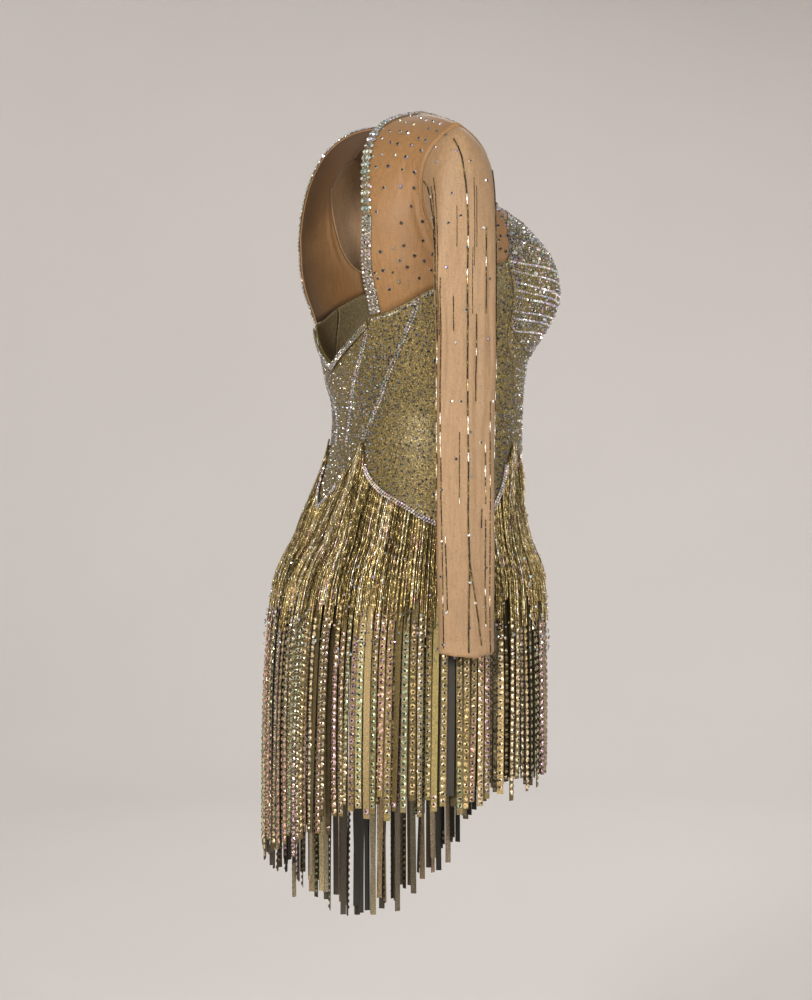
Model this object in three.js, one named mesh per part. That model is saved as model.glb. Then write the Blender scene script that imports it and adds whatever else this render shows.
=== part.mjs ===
// Latin dance dress, worn form, hollow, open at neck, back, hem and both cuffs.
// Millimetres, +Z up. The front faces -Y and the wearer's left is +X.
// The origin is midway between the tops of the two shoulders.
//
// The bodice and hips are panels cut from one body form, given by a table of
// horizontal sections. The shoulders are yokes lofted from the shoulder line
// down to that form. Each panel is a closed wall, kept SEAM_GAP from the next.
import * as THREE from 'three';

// ---------------------------------------------------------------- sizes
const LUREX_T = 1.6;          // gold stretch cloth with its stones' foil
const MESH_T = 1.2;           // skin-coloured stretch mesh
const HIP_T = 1.8;            // hip base that carries the strands
const TRIM_T = 1.5;           // stone banding
const FRINGE_T = 6.0;         // two layers of stone-set strips
const SEAM_GAP = 0.42;        // clear gap left between two cut pieces
const TRIM_LIFT = 0.7;        // trim stands this far off its panel
const BINDING_LIFT = 1.0;     // the same for the cloth binding of the low back
const BACK_TRIM_W = 10.5;     // banding beside the open back
const FRONT_TRIM_W = 5.5;     // banding along the front neck
const V_BINDING_W = 6.0;      // cloth binding of the low back
const HIP_BASE_Z = -545;      // lower edge of the hip base
const FRINGE_TOP_Z = -470;    // where the strips are sewn on
const CUFF_Z = -550;          // sleeve end
const UNDERARM_Z = -153;      // lowest point of the armhole
const SHOULDER_NECK = { x: 63, y: 6, z: -6 };
const SHOULDER_TIP = { x: 165, y: 4, z: -27 };

// Body form: half width b, front y, y of the widest line, back y,
// and the squareness of the front and back halves.
const BODY = [
  { z: -70, b: 146, yF: -52, yS: 8, yB: 100, nF: 3.0, nB: 2.3 },
  { z: -95, b: 147, yF: -64, yS: 8, yB: 106, nF: 2.8, nB: 2.3 },
  { z: -120, b: 147, yF: -85, yS: 6, yB: 110, nF: 2.6, nB: 2.3 },
  { z: -150, b: 146, yF: -102, yS: 2, yB: 109, nF: 2.5, nB: 2.3 },
  { z: -175, b: 144, yF: -108, yS: -1, yB: 104, nF: 2.4, nB: 2.3 },
  { z: -205, b: 140, yF: -112, yS: -6, yB: 92, nF: 2.35, nB: 2.3 },
  { z: -235, b: 133, yF: -115, yS: -13, yB: 83, nF: 2.3, nB: 2.3 },
  { z: -258, b: 128, yF: -118, yS: -18, yB: 79.5, nF: 2.3, nB: 2.3 },
  { z: -280, b: 123.5, yF: -115.5, yS: -21, yB: 75, nF: 2.3, nB: 2.3 },
  { z: -300, b: 119.5, yF: -114.5, yS: -23, yB: 69.5, nF: 2.3, nB: 2.3 },
  { z: -318, b: 118, yF: -114, yS: -23, yB: 68.5, nF: 2.3, nB: 2.3 },
  { z: -340, b: 119.5, yF: -113.5, yS: -22, yB: 70, nF: 2.3, nB: 2.3 },
  { z: -360, b: 124, yF: -113, yS: -19, yB: 75, nF: 2.3, nB: 2.3 },
  { z: -380, b: 131, yF: -112.5, yS: -16, yB: 82, nF: 2.3, nB: 2.3 },
  { z: -401, b: 140, yF: -110.5, yS: -11, yB: 90.5, nF: 2.3, nB: 2.3 },
  { z: -420, b: 147, yF: -112.5, yS: -8, yB: 98, nF: 2.3, nB: 2.3 },
  { z: -440, b: 153, yF: -117, yS: -6, yB: 105, nF: 2.3, nB: 2.3 },
  { z: -465, b: 159, yF: -122, yS: -3, yB: 113, nF: 2.3, nB: 2.3 },
  { z: -490, b: 163, yF: -123.5, yS: -1, yB: 118, nF: 2.3, nB: 2.3 },
  { z: -520, b: 166, yF: -124.5, yS: 0, yB: 123, nF: 2.3, nB: 2.3 },
  { z: -560, b: 168, yF: -125, yS: 0.5, yB: 126, nF: 2.3, nB: 2.3 },
];

// Bust cup: a rounded cup standing forward of the form on each side.
const CUP = { x: 78, z: -180, inR: 84, outR: 74, upR: 98, downR: 78, rise: 39.5, lean: 0.2 };

// Outer face of the fringe.
const FRINGE = [
  { z: -465, b: 168.5, yF: -130.5, yS: -3, yB: 123, nF: 2.3, nB: 2.3 },
  { z: -506, b: 175.5, yF: -133.5, yS: 0, yB: 133, nF: 2.3, nB: 2.3 },
  { z: -548, b: 179.5, yF: -134.5, yS: 2, yB: 139, nF: 2.3, nB: 2.3 },
  { z: -611, b: 181.5, yF: -135.5, yS: 3, yB: 142.5, nF: 2.3, nB: 2.3 },
  { z: -700, b: 182, yF: -135.5, yS: 4, yB: 144, nF: 2.3, nB: 2.3 },
  { z: -900, b: 182, yF: -135.5, yS: 4, yB: 144, nF: 2.3, nB: 2.3 },
];

// Angles run from centre front (0) over the wearer's right (90) to centre
// back (180); the wearer's left is 180 to 360.
// Top edge of the gold cloth: neckline over the cup, mesh seam, low back.
const TOP_EDGE = [
  { a: 0, z: -166 }, { a: 7.5, z: -160 }, { a: 15, z: -148 }, { a: 22.5, z: -128 },
  { a: 30, z: -103 }, { a: 37, z: -108 }, { a: 44, z: -113 }, { a: 51, z: -119 },
  { a: 58.5, z: -135 }, { a: 66, z: -157 }, { a: 78, z: -166 }, { a: 90, z: -177 },
  { a: 99, z: -186 }, { a: 108, z: -194 }, { a: 116, z: -201 }, { a: 124, z: -207 },
  { a: 131.5, z: -211 }, { a: 139, z: -213 }, { a: 147, z: -221 }, { a: 158, z: -234 },
  { a: 169, z: -246 }, { a: 180, z: -258 },
];
// Lower edge of the bust cups.
const CUP_EDGE = [
  { a: 0, z: -236 }, { a: 15, z: -246 }, { a: 30, z: -252 }, { a: 44, z: -248 },
  { a: 58.5, z: -234 }, { a: 66, z: -222 },
];
// Scalloped hip line, with points up at the princess seams.
const HIP_EDGE = [
  { a: 0, z: -406 }, { a: 15, z: -394 }, { a: 30, z: -376 }, { a: 45, z: -353 },
  { a: 55, z: -344 }, { a: 61, z: -360 }, { a: 68, z: -392 }, { a: 78, z: -417 },
  { a: 90, z: -427 }, { a: 101, z: -421 }, { a: 121, z: -402 }, { a: 138, z: -386 },
  { a: 150, z: -366 }, { a: 156, z: -342 }, { a: 162, z: -356 }, { a: 170, z: -385 },
  { a: 180, z: -408 },
];
// Seams that run down the bodice, as angle against height.
const PRINCESS = [   // front panel to side panel
  { z: -150, a: 66 }, { z: -222, a: 66 }, { z: -262, a: 58 }, { z: -318, a: 51 }, { z: -344, a: 55 }, { z: -430, a: 55 },
];
const SIDE_BACK = [  // side panel to back panel
  { z: -150, a: 108 }, { z: -194, a: 108 }, { z: -232, a: 119 }, { z: -262, a: 129 }, { z: -290, a: 139 }, { z: -318, a: 149 }, { z: -342, a: 156 }, { z: -430, a: 156 },
];
const CENTRE_BACK = [ // back panel to the pointed centre-back panel
  { z: -190, a: 147 }, { z: -221, a: 147 }, { z: -254, a: 154 }, { z: -281, a: 164 }, { z: -312, a: 173 }, { z: -345, a: 175.5 }, { z: -430, a: 175.5 },
];
// Ragged-cut fringe, longest on the wearer's left.
const HEM = [
  { a: 0, z: -684 }, { a: 30, z: -672 }, { a: 74, z: -688 }, { a: 104, z: -699 },
  { a: 123, z: -697 }, { a: 140, z: -705 }, { a: 150, z: -727 }, { a: 161, z: -736 },
  { a: 171, z: -744 }, { a: 181, z: -753 }, { a: 203, z: -768 }, { a: 232, z: -801 },
  { a: 242, z: -826 }, { a: 255, z: -840 }, { a: 264, z: -857 }, { a: 272, z: -868 },
  { a: 284, z: -862 }, { a: 302, z: -828 }, { a: 322, z: -768 }, { a: 342, z: -712 }, { a: 360, z: -684 },
];
// Column angles of the cut pieces along the top edge.
const CUP_COLS = [0, 7.5, 15, 22.5, 30, 37, 44, 51, 58.5, 66];
const FRONT_YOKE_COLS = [30, 37, 44, 51, 58.5, 66, 70, 74, 78, 82, 86, 90];
const SIDE_COLS = [66, 70, 74, 78, 82, 86, 90, 94.5, 99, 103.5, 108];
const BACK_YOKE_COLS = [139, 131.5, 124, 116, 108, 103.5, 99, 94.5, 90];
const BACK_COLS = [108, 116, 124, 131.5, 139, 147];
const CENTRE_COLS = [147, 158, 169, 180, 191, 202, 213];

// Yokes: where the shoulder loft joins the form, neck side and armhole side.
const FRONT_LOFT = { neckA: 21.5, neckZ: -78, armA: 70, armZ: -112 };
const BACK_LOFT = { neckA: 134, neckZ: -120, armA: 101, armZ: -112 };
const LOFT_ROWS = 6;
const FORM_ROWS = [0.34, 0.58, 0.66, 1];   // the third is level with the underarm

// Sleeve below the armhole: centre and half sizes of each ring.
const SLEEVE = [
  { z: -188, x: 184, y: 2.5, hx: 12.5, hy: 32 },
  { z: -240, x: 185.5, y: 1.8, hx: 11.5, hy: 30.6 },
  { z: -300, x: 188.5, y: 3.2, hx: 11, hy: 30 },
  { z: -360, x: 192, y: 4.9, hx: 10.5, hy: 29.5 },
  { z: -420, x: 194.5, y: 6, hx: 10.5, hy: 29.5 },
  { z: -480, x: 196.5, y: 6, hx: 10.5, hy: 29 },
  { z: -520, x: 197.5, y: 6, hx: 10.5, hy: 29 },
  { z: CUFF_Z, x: 198, y: 6, hx: 11, hy: 29 },
];
// The wearer's left sleeve hangs a little further forward.
const LEFT_SWING = [{ z: -150, y: -12 }, { z: -262, y: -17 }, { z: -320, y: -21.5 }, { z: -370, y: -23 }, { z: CUFF_Z, y: -22 }];
const SLEEVE_CAP_ROWS = 7;
const SLEEVE_RIDGE = 1.8;     // pressed crease down the outer side

// ---------------------------------------------------------------- helpers
const rad = Math.PI / 180;
const V = (x, y, z) => new THREE.Vector3(x, y, z);
const lerp = (p, q, t) => p + (q - p) * t;

// Monotone cubic through a table's rows, key column k, value column c.
function curve(table, k, c) {
  const rows = [...table].sort((p, q) => p[k] - q[k]);
  const n = rows.length, x = rows.map(r => r[k]), y = rows.map(r => r[c]);
  const d = [], m = new Array(n).fill(0);
  for (let i = 0; i < n - 1; i++) d.push((y[i + 1] - y[i]) / (x[i + 1] - x[i]));
  m[0] = d[0]; m[n - 1] = d[n - 2];
  for (let i = 1; i < n - 1; i++) m[i] = d[i - 1] * d[i] <= 0 ? 0 : 2 * d[i - 1] * d[i] / (d[i - 1] + d[i]);
  return v => {
    if (v <= x[0]) return y[0];
    if (v >= x[n - 1]) return y[n - 1];
    let i = 0; while (v > x[i + 1]) i++;
    const h = x[i + 1] - x[i], t = (v - x[i]) / h, t2 = t * t, t3 = t2 * t;
    return (2 * t3 - 3 * t2 + 1) * y[i] + (t3 - 2 * t2 + t) * h * m[i]
      + (-2 * t3 + 3 * t2) * y[i + 1] + (t3 - t2) * h * m[i + 1];
  };
}
function form(table) {
  const f = {};
  for (const c of ['b', 'yF', 'yS', 'yB', 'nF', 'nB']) f[c] = curve(table, 'z', c);
  return (a, z) => {
    const s = Math.sin(a * rad), c = Math.cos(a * rad), b = f.b(z), yS = f.yS(z);
    const e = 2 / (c >= 0 ? f.nF(z) : f.nB(z)), reach = c >= 0 ? f.yF(z) - yS : f.yB(z) - yS;
    return V(-b * Math.sign(s) * Math.abs(s) ** e, yS + reach * Math.abs(c) ** e, z);
  };
}
const bodyForm = form(BODY);
const fringeForm = form(FRINGE);
function body(a, z) {
  const p = bodyForm(a, z);
  if (Math.cos(a * rad) > 0) {
    const ax = Math.abs(p.x), rx = (ax - CUP.x) / (ax < CUP.x ? CUP.inR : CUP.outR);
    const rz = (z - CUP.z) / (z > CUP.z ? CUP.upR : CUP.downR);
    const q = 1 - rx * rx - rz * rz;
    if (q > 0) {
      const h = CUP.rise * q ** 1.35;
      p.y -= h * Math.cos(CUP.lean); p.x += Math.sign(p.x) * h * Math.sin(CUP.lean);
    }
  }
  return p;
}
const topEdge = curve(TOP_EDGE, 'a', 'z'), cupEdge = curve(CUP_EDGE, 'a', 'z'), hipEdge = curve(HIP_EDGE, 'a', 'z');
const princess = curve(PRINCESS, 'z', 'a'), sideBack = curve(SIDE_BACK, 'z', 'a'), centreBack = curve(CENTRE_BACK, 'z', 'a');
const hem = curve(HEM, 'a', 'z');
const fold = a => (a > 180 ? 360 - a : a < 0 ? -a : a);   // same height both sides

// Unit normal of a form at an angle and height, away from the body.
function outward(a, z, form = body) {
  const e = 0.05, n = form(a + e, z).sub(form(a - e, z)).cross(form(a, z + e).sub(form(a, z - e))).normalize();
  const p = form(a, z);
  return n.dot(V(p.x, p.y + 15, 0)) < 0 ? n.negate() : n;
}

// Closed wall from a grid of base points and unit outward normals.
function wall(base, normals, t, wrap = false) {
  const R = base.length, C = base[0].length, pos = [], idx = [];
  const inner = (i, j) => (i * C + j), outer = (i, j) => R * C + i * C + j;
  for (let i = 0; i < R; i++) for (let j = 0; j < C; j++) pos.push(base[i][j]);
  for (let i = 0; i < R; i++) for (let j = 0; j < C; j++) pos.push(base[i][j].clone().addScaledVector(normals[i][j], t));
  const quad = (a, b, c, d) => { idx.push(a, b, c, a, c, d); };
  const JC = wrap ? C : C - 1;
  for (let i = 0; i < R - 1; i++) for (let j = 0; j < JC; j++) {
    const k = (j + 1) % C;
    quad(outer(i, j), outer(i, k), outer(i + 1, k), outer(i + 1, j));
    quad(inner(i, j), inner(i + 1, j), inner(i + 1, k), inner(i, k));
  }
  for (let j = 0; j < JC; j++) {
    const k = (j + 1) % C;
    quad(inner(0, j), inner(0, k), outer(0, k), outer(0, j));
    quad(outer(R - 1, j), outer(R - 1, k), inner(R - 1, k), inner(R - 1, j));
  }
  if (!wrap) for (let i = 0; i < R - 1; i++) {
    quad(inner(i, 0), outer(i, 0), outer(i + 1, 0), inner(i + 1, 0));
    quad(outer(i, C - 1), inner(i, C - 1), inner(i + 1, C - 1), outer(i + 1, C - 1));
  }
  return solid(pos, idx);
}
function solid(points, idx) {
  let vol = 0;
  for (let i = 0; i < idx.length; i += 3) vol += points[idx[i]].dot(points[idx[i + 1]].clone().cross(points[idx[i + 2]]));
  if (vol < 0) for (let i = 0; i < idx.length; i += 3) [idx[i + 1], idx[i + 2]] = [idx[i + 2], idx[i + 1]];
  const g = new THREE.BufferGeometry();
  g.setAttribute('position', new THREE.Float32BufferAttribute(points.flatMap(p => [p.x, p.y, p.z]), 3));
  g.setIndex(idx);
  return g;
}
function mirrored(geometry) {
  const g = geometry.clone(), p = g.attributes.position, idx = [...g.index.array];
  for (let i = 0; i < p.count; i++) p.setX(i, -p.getX(i));
  for (let i = 0; i < idx.length; i += 3) [idx[i + 1], idx[i + 2]] = [idx[i + 2], idx[i + 1]];
  g.setIndex(idx);
  return g;
}

const group = new THREE.Group();
const CLOTHS = {
  gold: { color: 0x8a7a3e, roughness: 0.45, metalness: 0.45 },
  mesh: { color: 0xb98d63, roughness: 0.8, metalness: 0.0 },
  stones: { color: 0xb9b2a2, roughness: 0.2, metalness: 0.3 },
  strips: { color: 0x94874f, roughness: 0.35, metalness: 0.5 },
};
function add(name, cloth, geometry) {
  const mesh = new THREE.Mesh(geometry, new THREE.MeshStandardMaterial(CLOTHS[cloth]));
  mesh.name = name;
  group.add(mesh);
}
function addPair(name, cloth, geometry) {
  add(`${name}_right`, cloth, geometry);
  add(`${name}_left`, cloth, mirrored(geometry));
}

// A cut panel on the form: patch(u, v) with u across and v down, both 0 to 1,
// drawn in by half the seam gap on every edge.
function panelGrid(patch, us, vs, form = body) {
  const half = SEAM_GAP / 2, e = 0.002;
  const at = (u, v) => { const q = patch(u, v); return form(q.a, q.z); };
  return vs.map(v0 => us.map(u0 => {
    const tu = at(u0 + e, v0).sub(at(u0 - e, v0)).divideScalar(2 * e), tv = at(u0, v0 + e).sub(at(u0, v0 - e)).divideScalar(2 * e);
    // a slanting edge is drawn in further, so that the gap stays square to it
    const square = Math.max(0.35, tu.clone().normalize().cross(tv.clone().normalize()).length());
    const su = half / (tu.length() * square), sv = half / (tv.length() * square);
    const u = u0 === 0 ? su : u0 === 1 ? 1 - su : u0;
    const v = v0 === 0 ? sv : v0 === 1 ? 1 - sv : v0;
    const q = patch(u, v);
    return { p: form(q.a, q.z), n: outward(q.a, q.z, form) };
  }));
}
const steps = n => Array.from({ length: n + 1 }, (_, i) => i / n);
function panel(patch, us, vs, t) {
  const g = panelGrid(patch, us, vs);
  return wall(g.map(r => r.map(c => c.p)), g.map(r => r.map(c => c.n)), t);
}
// Patch between a top curve and a bottom curve, with side seams that follow
// the height, and columns at the given shares of the width.
function seamPatch(cols, top, bottom, left, right, endA) {
  const first = cols[0], last = cols[cols.length - 1];
  const share = cols.map(a => (a - first) / (last - first));
  const between = (z, u) => lerp(left(z), right(z), u);
  const patch = (u, v) => {
    const aTop = lerp(first, last, u), zTop = top(aTop), zEnd = bottom(lerp(endA[0], endA[1], u));
    const z = lerp(zTop, zEnd, v);
    return { a: between(z, u) + (aTop - between(zTop, u)) * (1 - v) ** 2, z };
  };
  return { patch, share };
}
// Rows of the side and back panels, level with the cup seam and then with the
// rows of the front panels where they share the princess seam.
const FRONT_ROWS = steps(6);
const PRINCESS_TOP = topEdge(66), PRINCESS_CUP = cupEdge(66), PRINCESS_END = hipEdge(55);
const SIDE_ROWS = [0, 0.5 * (PRINCESS_CUP - PRINCESS_TOP) / (PRINCESS_END - PRINCESS_TOP),
  ...FRONT_ROWS.map(v => (lerp(PRINCESS_CUP, PRINCESS_END, v) - PRINCESS_TOP) / (PRINCESS_END - PRINCESS_TOP))];

// ---------------------------------------------------------------- bodice
// Bust cups, from the neckline to the seam under the bust.
{
  const share = CUP_COLS.map(a => a / 66);
  const patch = (u, v) => { const a = 66 * u; return { a, z: lerp(topEdge(a), cupEdge(a), v) }; };
  addPair('cup', 'gold', panel(patch, share, steps(8), LUREX_T));
}
// Front panels below the cups, joined down the centre front.
{
  const { patch, share } = seamPatch(CUP_COLS, cupEdge, hipEdge, () => 0, princess, [0, 55]);
  addPair('front_panel', 'gold', panel(patch, share, FRONT_ROWS, LUREX_T));
}
// Side panels, under the arm, from the princess seam to the side-back seam.
{
  const { patch, share } = seamPatch(SIDE_COLS, topEdge, hipEdge, princess, sideBack, [55, 156]);
  addPair('side_panel', 'gold', panel(patch, share, SIDE_ROWS, LUREX_T));
}
// Back panels, from the side-back seam to the centre-back point.
{
  const { patch, share } = seamPatch(BACK_COLS, topEdge, hipEdge, sideBack, centreBack, [156, 175.5]);
  addPair('back_panel', 'gold', panel(patch, share, SIDE_ROWS, LUREX_T));
}
// Pointed centre-back panel under the open back.
{
  const { patch, share } = seamPatch(CENTRE_COLS, a => topEdge(fold(a)), a => hipEdge(fold(a)), centreBack, z => 360 - centreBack(z), [175.5, 184.5]);
  add('centre_back_panel', 'gold', panel(patch, share, SIDE_ROWS, LUREX_T));
}

// ---------------------------------------------------------------- hip base
function hipPatch(a0, a1) {
  return (u, v) => { const a = lerp(a0, a1, u); return { a, z: lerp(hipEdge(fold(a)), HIP_BASE_Z, v) }; };
}
{
  const frontShares = CUP_COLS.map(a => a / 66);
  const across = [...frontShares.slice(1).reverse().map(s => 0.5 - s / 2), ...frontShares.map(s => 0.5 + s / 2)];
  add('hip_front', 'gold', panel(hipPatch(-55, 55), across, steps(5), HIP_T));
  const side = SIDE_COLS.map(a => (a - 66) / 42);
  addPair('hip_side', 'gold', panel(hipPatch(55, 156), side, steps(5), HIP_T));
  const rightA = BACK_COLS.map(a => lerp(156, 175.5, (a - 108) / 39)), midA = CENTRE_COLS.map(a => lerp(175.5, 184.5, (a - 147) / 66));
  const back = [...rightA, ...midA.slice(1, -1), ...rightA.map(a => 360 - a).reverse()].map(a => (a - 156) / 48);
  add('hip_back', 'gold', panel(hipPatch(156, 204), back, steps(5), HIP_T));
}

// ---------------------------------------------------------------- yokes
function hermite(p, tp, q, tq, t) {
  const t2 = t * t, t3 = t2 * t;
  return p.clone().multiplyScalar(2 * t3 - 3 * t2 + 1).addScaledVector(tp, t3 - 2 * t2 + t)
    .addScaledVector(q, -2 * t3 + 3 * t2).addScaledVector(tq, t3 - t2);
}
const shoulder = s => V(-lerp(SHOULDER_NECK.x, SHOULDER_TIP.x, s), lerp(SHOULDER_NECK.y, SHOULDER_TIP.y, s),
  lerp(SHOULDER_NECK.z, SHOULDER_TIP.z, s) + 2 * Math.sin(Math.PI * s));
// start pull at the shoulder and end pull on the form, neck side then arm side
const FRONT_PULL = { neck: [V(0, -105, -2), V(-10, -30, -125)], arm: [V(12, -104, -58), V(10, 44, -140)] };
const BACK_PULL = { neck: [V(34, 195, -12), V(-34, 4, -190)], arm: [V(12, 88, -56), V(8, -34, -140)] };

// One yoke as rows of points: the loft first, then rows on the form.
function yoke(cols, loft, pull, armEdge) {
  const n = cols.length - 1, rows = [];
  const point = (u, r) => {         // u 0 neck to 1 arm, r row number
    const k = u * n, i = Math.min(n - 1, Math.max(0, Math.floor(k)));
    const colA = lerp(cols[i], cols[i + 1], k - i);
    const aJoin = lerp(loft.neckA, loft.armA, u ** 0.9), zJoin = lerp(loft.neckZ, loft.armZ, u);
    if (r <= LOFT_ROWS) {
      const tp = pull.neck[0].clone().lerp(pull.arm[0], u), tq = pull.neck[1].clone().lerp(pull.arm[1], u * u);
      return hermite(shoulder(u), tp, body(aJoin, zJoin), tq, r / LOFT_ROWS);
    }
    const step = r - LOFT_ROWS, f = step <= 1 ? lerp(0, FORM_ROWS[0], step)
      : lerp(FORM_ROWS[Math.min(3, Math.floor(step) - 1)], FORM_ROWS[Math.min(3, Math.floor(step))], step - Math.floor(step));
    const z = lerp(zJoin, topEdge(colA), f);
    // the armhole edge swings in to the side line at the underarm
    const swing = (armEdge(f) - f) * (90 - loft.armA), a = lerp(aJoin, colA, f) + swing * u ** 3;
    return Object.assign(body(a, z), { at: [a, z] });
  };
  const R = LOFT_ROWS + FORM_ROWS.length;
  return { point, R, n };
}
// Share of the way to the side line, against the share of the form rows.
const armSwing = curve([{ f: 0, s: 0 }, { f: 0.34, s: 0.3 }, { f: 0.58, s: 0.72 }, { f: 0.66, s: 1 }, { f: 1, s: 1 }], 'f', 's');
function yokeGrid(y, cols) {
  const half = SEAM_GAP / 2, e = 0.01;
  const cell = (u0, r0, aside = 0) => {
    let u = u0, r = r0;
    const pu = u0 < 0.5 ? y.point(u0 + e, r0) : y.point(u0 - e, r0);
    const lu = pu.distanceTo(y.point(u0, r0)) / e;
    const pr = r0 < 1 ? y.point(u0, r0 + e) : y.point(u0, r0 - e);
    const lr = pr.distanceTo(y.point(u0, r0)) / e;
    if (u0 === 0) u = (half + aside) / lu; if (u0 === 1) u = 1 - half / lu;
    if (r0 === 0) r = half / lr; if (r0 === y.R) r = y.R - half / lr;
    const du = y.point(Math.min(1, u + e), r).sub(y.point(Math.max(0, u - e), r));
    const dr = y.point(u, Math.min(y.R, r + e)).sub(y.point(u, Math.max(0, r - e)));
    const p = y.point(u, r), n = r > LOFT_ROWS + 0.5 ? outward(...p.at) : du.cross(dr).normalize();
    if (n.dot(p.clone().sub(V(-95, 5, -170))) < 0) n.negate();
    return { p, n };
  };
  const us = cols.map((_, i) => i / (cols.length - 1));
  const grid = Array.from({ length: y.R + 1 }, (_, r) => us.map(u => cell(u, r)));
  // along the seam to the gold cloth the wall stands as the gold wall does
  grid[y.R].forEach((c, j) => {
    c.n = outward(cols[j], topEdge(cols[j]));
  });
  // rows of the banding that lies along the neck edge
  grid.strip = width => grid.map((_, r) => [0, width / 2, width].map(d => cell(0, r, d)));
  return grid;
}
const frontYoke = yoke(FRONT_YOKE_COLS, FRONT_LOFT, FRONT_PULL, armSwing);
const backYoke = yoke(BACK_YOKE_COLS, BACK_LOFT, BACK_PULL, armSwing);
const frontGrid = yokeGrid(frontYoke, FRONT_YOKE_COLS), backGrid = yokeGrid(backYoke, BACK_YOKE_COLS);
addPair('front_yoke', 'mesh', wall(frontGrid.map(r => r.map(c => c.p)), frontGrid.map(r => r.map(c => c.n)), MESH_T));
addPair('back_yoke', 'mesh', wall(backGrid.map(r => r.map(c => c.p)), backGrid.map(r => r.map(c => c.n)), MESH_T));

// ---------------------------------------------------------------- sleeves
// The first ring follows the armhole, the cap rolls over the shoulder and the
// rest hangs as a flattened tube, open at the cuff.
{
  const under = LOFT_ROWS + 3, last = (grid, r) => grid[r][grid[r].length - 1];
  // the shoulder and underarm points are each shared by front and back
  const shared = r => {
    const f = last(frontGrid, r), k = last(backGrid, r);
    return { p: f.p.clone().lerp(k.p, 0.5), n: f.n.clone().add(k.n).normalize() };
  };
  const loop = [shared(0)];
  for (let r = 1; r < under; r++) loop.push(last(frontGrid, r));
  loop.push(shared(under));
  for (let r = under - 1; r > 0; r--) loop.push(last(backGrid, r));
  const centre = loop.reduce((sum, q) => sum.add(q.p), V(0, 0, 0)).divideScalar(loop.length);
  const ring0 = loop.map((q, k) => {
    const along = loop[(k + 1) % loop.length].p.clone().sub(loop[(k + loop.length - 1) % loop.length].p).normalize();
    const out = q.n.clone().cross(along).normalize();
    if (out.dot(centre.clone().sub(q.p)) < 0) out.negate();
    return { p: q.p.clone().addScaledVector(out, SEAM_GAP * (k === 0 ? 1.4 : 1.2)), out, n: q.n };
  });
  const N = ring0.length;
  const sl = {};
  for (const c of ['x', 'y', 'hx', 'hy']) sl[c] = curve(SLEEVE, 'z', c);
  const makeSleeve = swing => {
    const tube = (k, z) => {
      const psi = k / N * 2 * Math.PI, c = Math.cos(psi), s = Math.sin(psi), e = 0.82;
      const ridge = k === 0 ? SLEEVE_RIDGE : 0;
      return V(-sl.x(z) - (sl.hx(z) + ridge) * Math.sign(c) * Math.abs(c) ** e, swing(z) + sl.y(z) - sl.hy(z) * Math.sign(s) * Math.abs(s) ** e, z);
    };
    const rings = [];
    const firstZ = SLEEVE[0].z;
    rings.push(ring0.map(q => q.p));
    // the seam turns out of the armhole, more so towards the underarm
    const lip = ring0.map(q => {
      const low = Math.min(1, Math.max(0, (SHOULDER_TIP.z - 25 - q.p.z) / 70));
      return q.p.clone().addScaledVector(q.out, lerp(3, 0.8, low)).addScaledVector(q.n, 3.2 * low);
    });
    for (let r = 0; r < SLEEVE_CAP_ROWS; r++) {
      const t = r / SLEEVE_CAP_ROWS;
      rings.push(ring0.map((q, k) => {
        const end = tube(k, firstZ), span = lip[k].distanceTo(end);
        const away = q.out.clone().lerp(V(-1, 0, 0), 0.75).normalize();
        return hermite(lip[k], away.multiplyScalar(span * 0.62), end, V(0, 0, -span * 1.15), t);
      }));
    }
    for (const row of SLEEVE) rings.push(Array.from({ length: N }, (_, k) => tube(k, row.z)));
    const norms = rings.map((ring, i) => ring.map((p, k) => {
      const dk = ring[(k + 1) % N].clone().sub(ring[(k + N - 1) % N]);
      const a = rings[Math.max(0, i - 1)][k], b = rings[Math.min(rings.length - 1, i + 1)][k];
      return dk.cross(b.clone().sub(a)).normalize();
    }));
    const mid = rings[9].reduce((s, p) => s.add(p), V(0, 0, 0)).multiplyScalar(1 / N);
    if (norms[9][0].dot(rings[9][0].clone().sub(mid)) < 0) norms.forEach(r => r.forEach(n => n.negate()));
    // the wall grows inward, so the outer face is the drawn one
    return wall(rings, norms.map(r => r.map(n => n.clone().negate())), MESH_T, true);
  };
  add('sleeve_right', 'mesh', makeSleeve(() => 0));
  add('sleeve_left', 'mesh', mirrored(makeSleeve(curve(LEFT_SWING, 'z', 'y'))));
}

// ---------------------------------------------------------------- trims
// Banding laid on a panel: its inner face is the panel's own points moved out.
function band(rows, base, t) {
  return wall(rows.map(r => r.map(c => c.p.clone().addScaledVector(c.n, base))), rows.map(r => r.map(c => c.n)), t);
}
addPair('back_trim', 'stones', band(backGrid.strip(BACK_TRIM_W), MESH_T + TRIM_LIFT, TRIM_T));
addPair('front_trim', 'stones', band(frontGrid.strip(FRONT_TRIM_W).slice(0, -1), MESH_T + TRIM_LIFT, TRIM_T));
// Banding just under the top edge of the gold cloth.
function topBand(angles, width) {
  return angles.map(a => {
    const p0 = body(a - 0.5, topEdge(fold(a - 0.5))), p1 = body(a + 0.5, topEdge(fold(a + 0.5))), along = p1.sub(p0).normalize();
    const drop = width / Math.max(0.45, Math.hypot(along.x, along.y));
    return [0, 0.5, 1].map(d => {
      const z = topEdge(fold(a)) - SEAM_GAP - drop * d;
      return { p: body(a, z), n: outward(a, z) };
    });
  });
}
addPair('neckline_trim', 'stones', band(topBand([0.25, 7.5, 15, 22.5, 26.5], FRONT_TRIM_W), LUREX_T + BINDING_LIFT + 0.3, TRIM_T));
const V_COLS = [143, 147, 152.5, 158, 163.5, 169, 174.5, 180];
add('back_binding', 'gold', band(topBand([...V_COLS, ...V_COLS.slice(0, -1).reverse().map(a => 360 - a)], V_BINDING_W), LUREX_T + BINDING_LIFT, TRIM_T));

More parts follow.
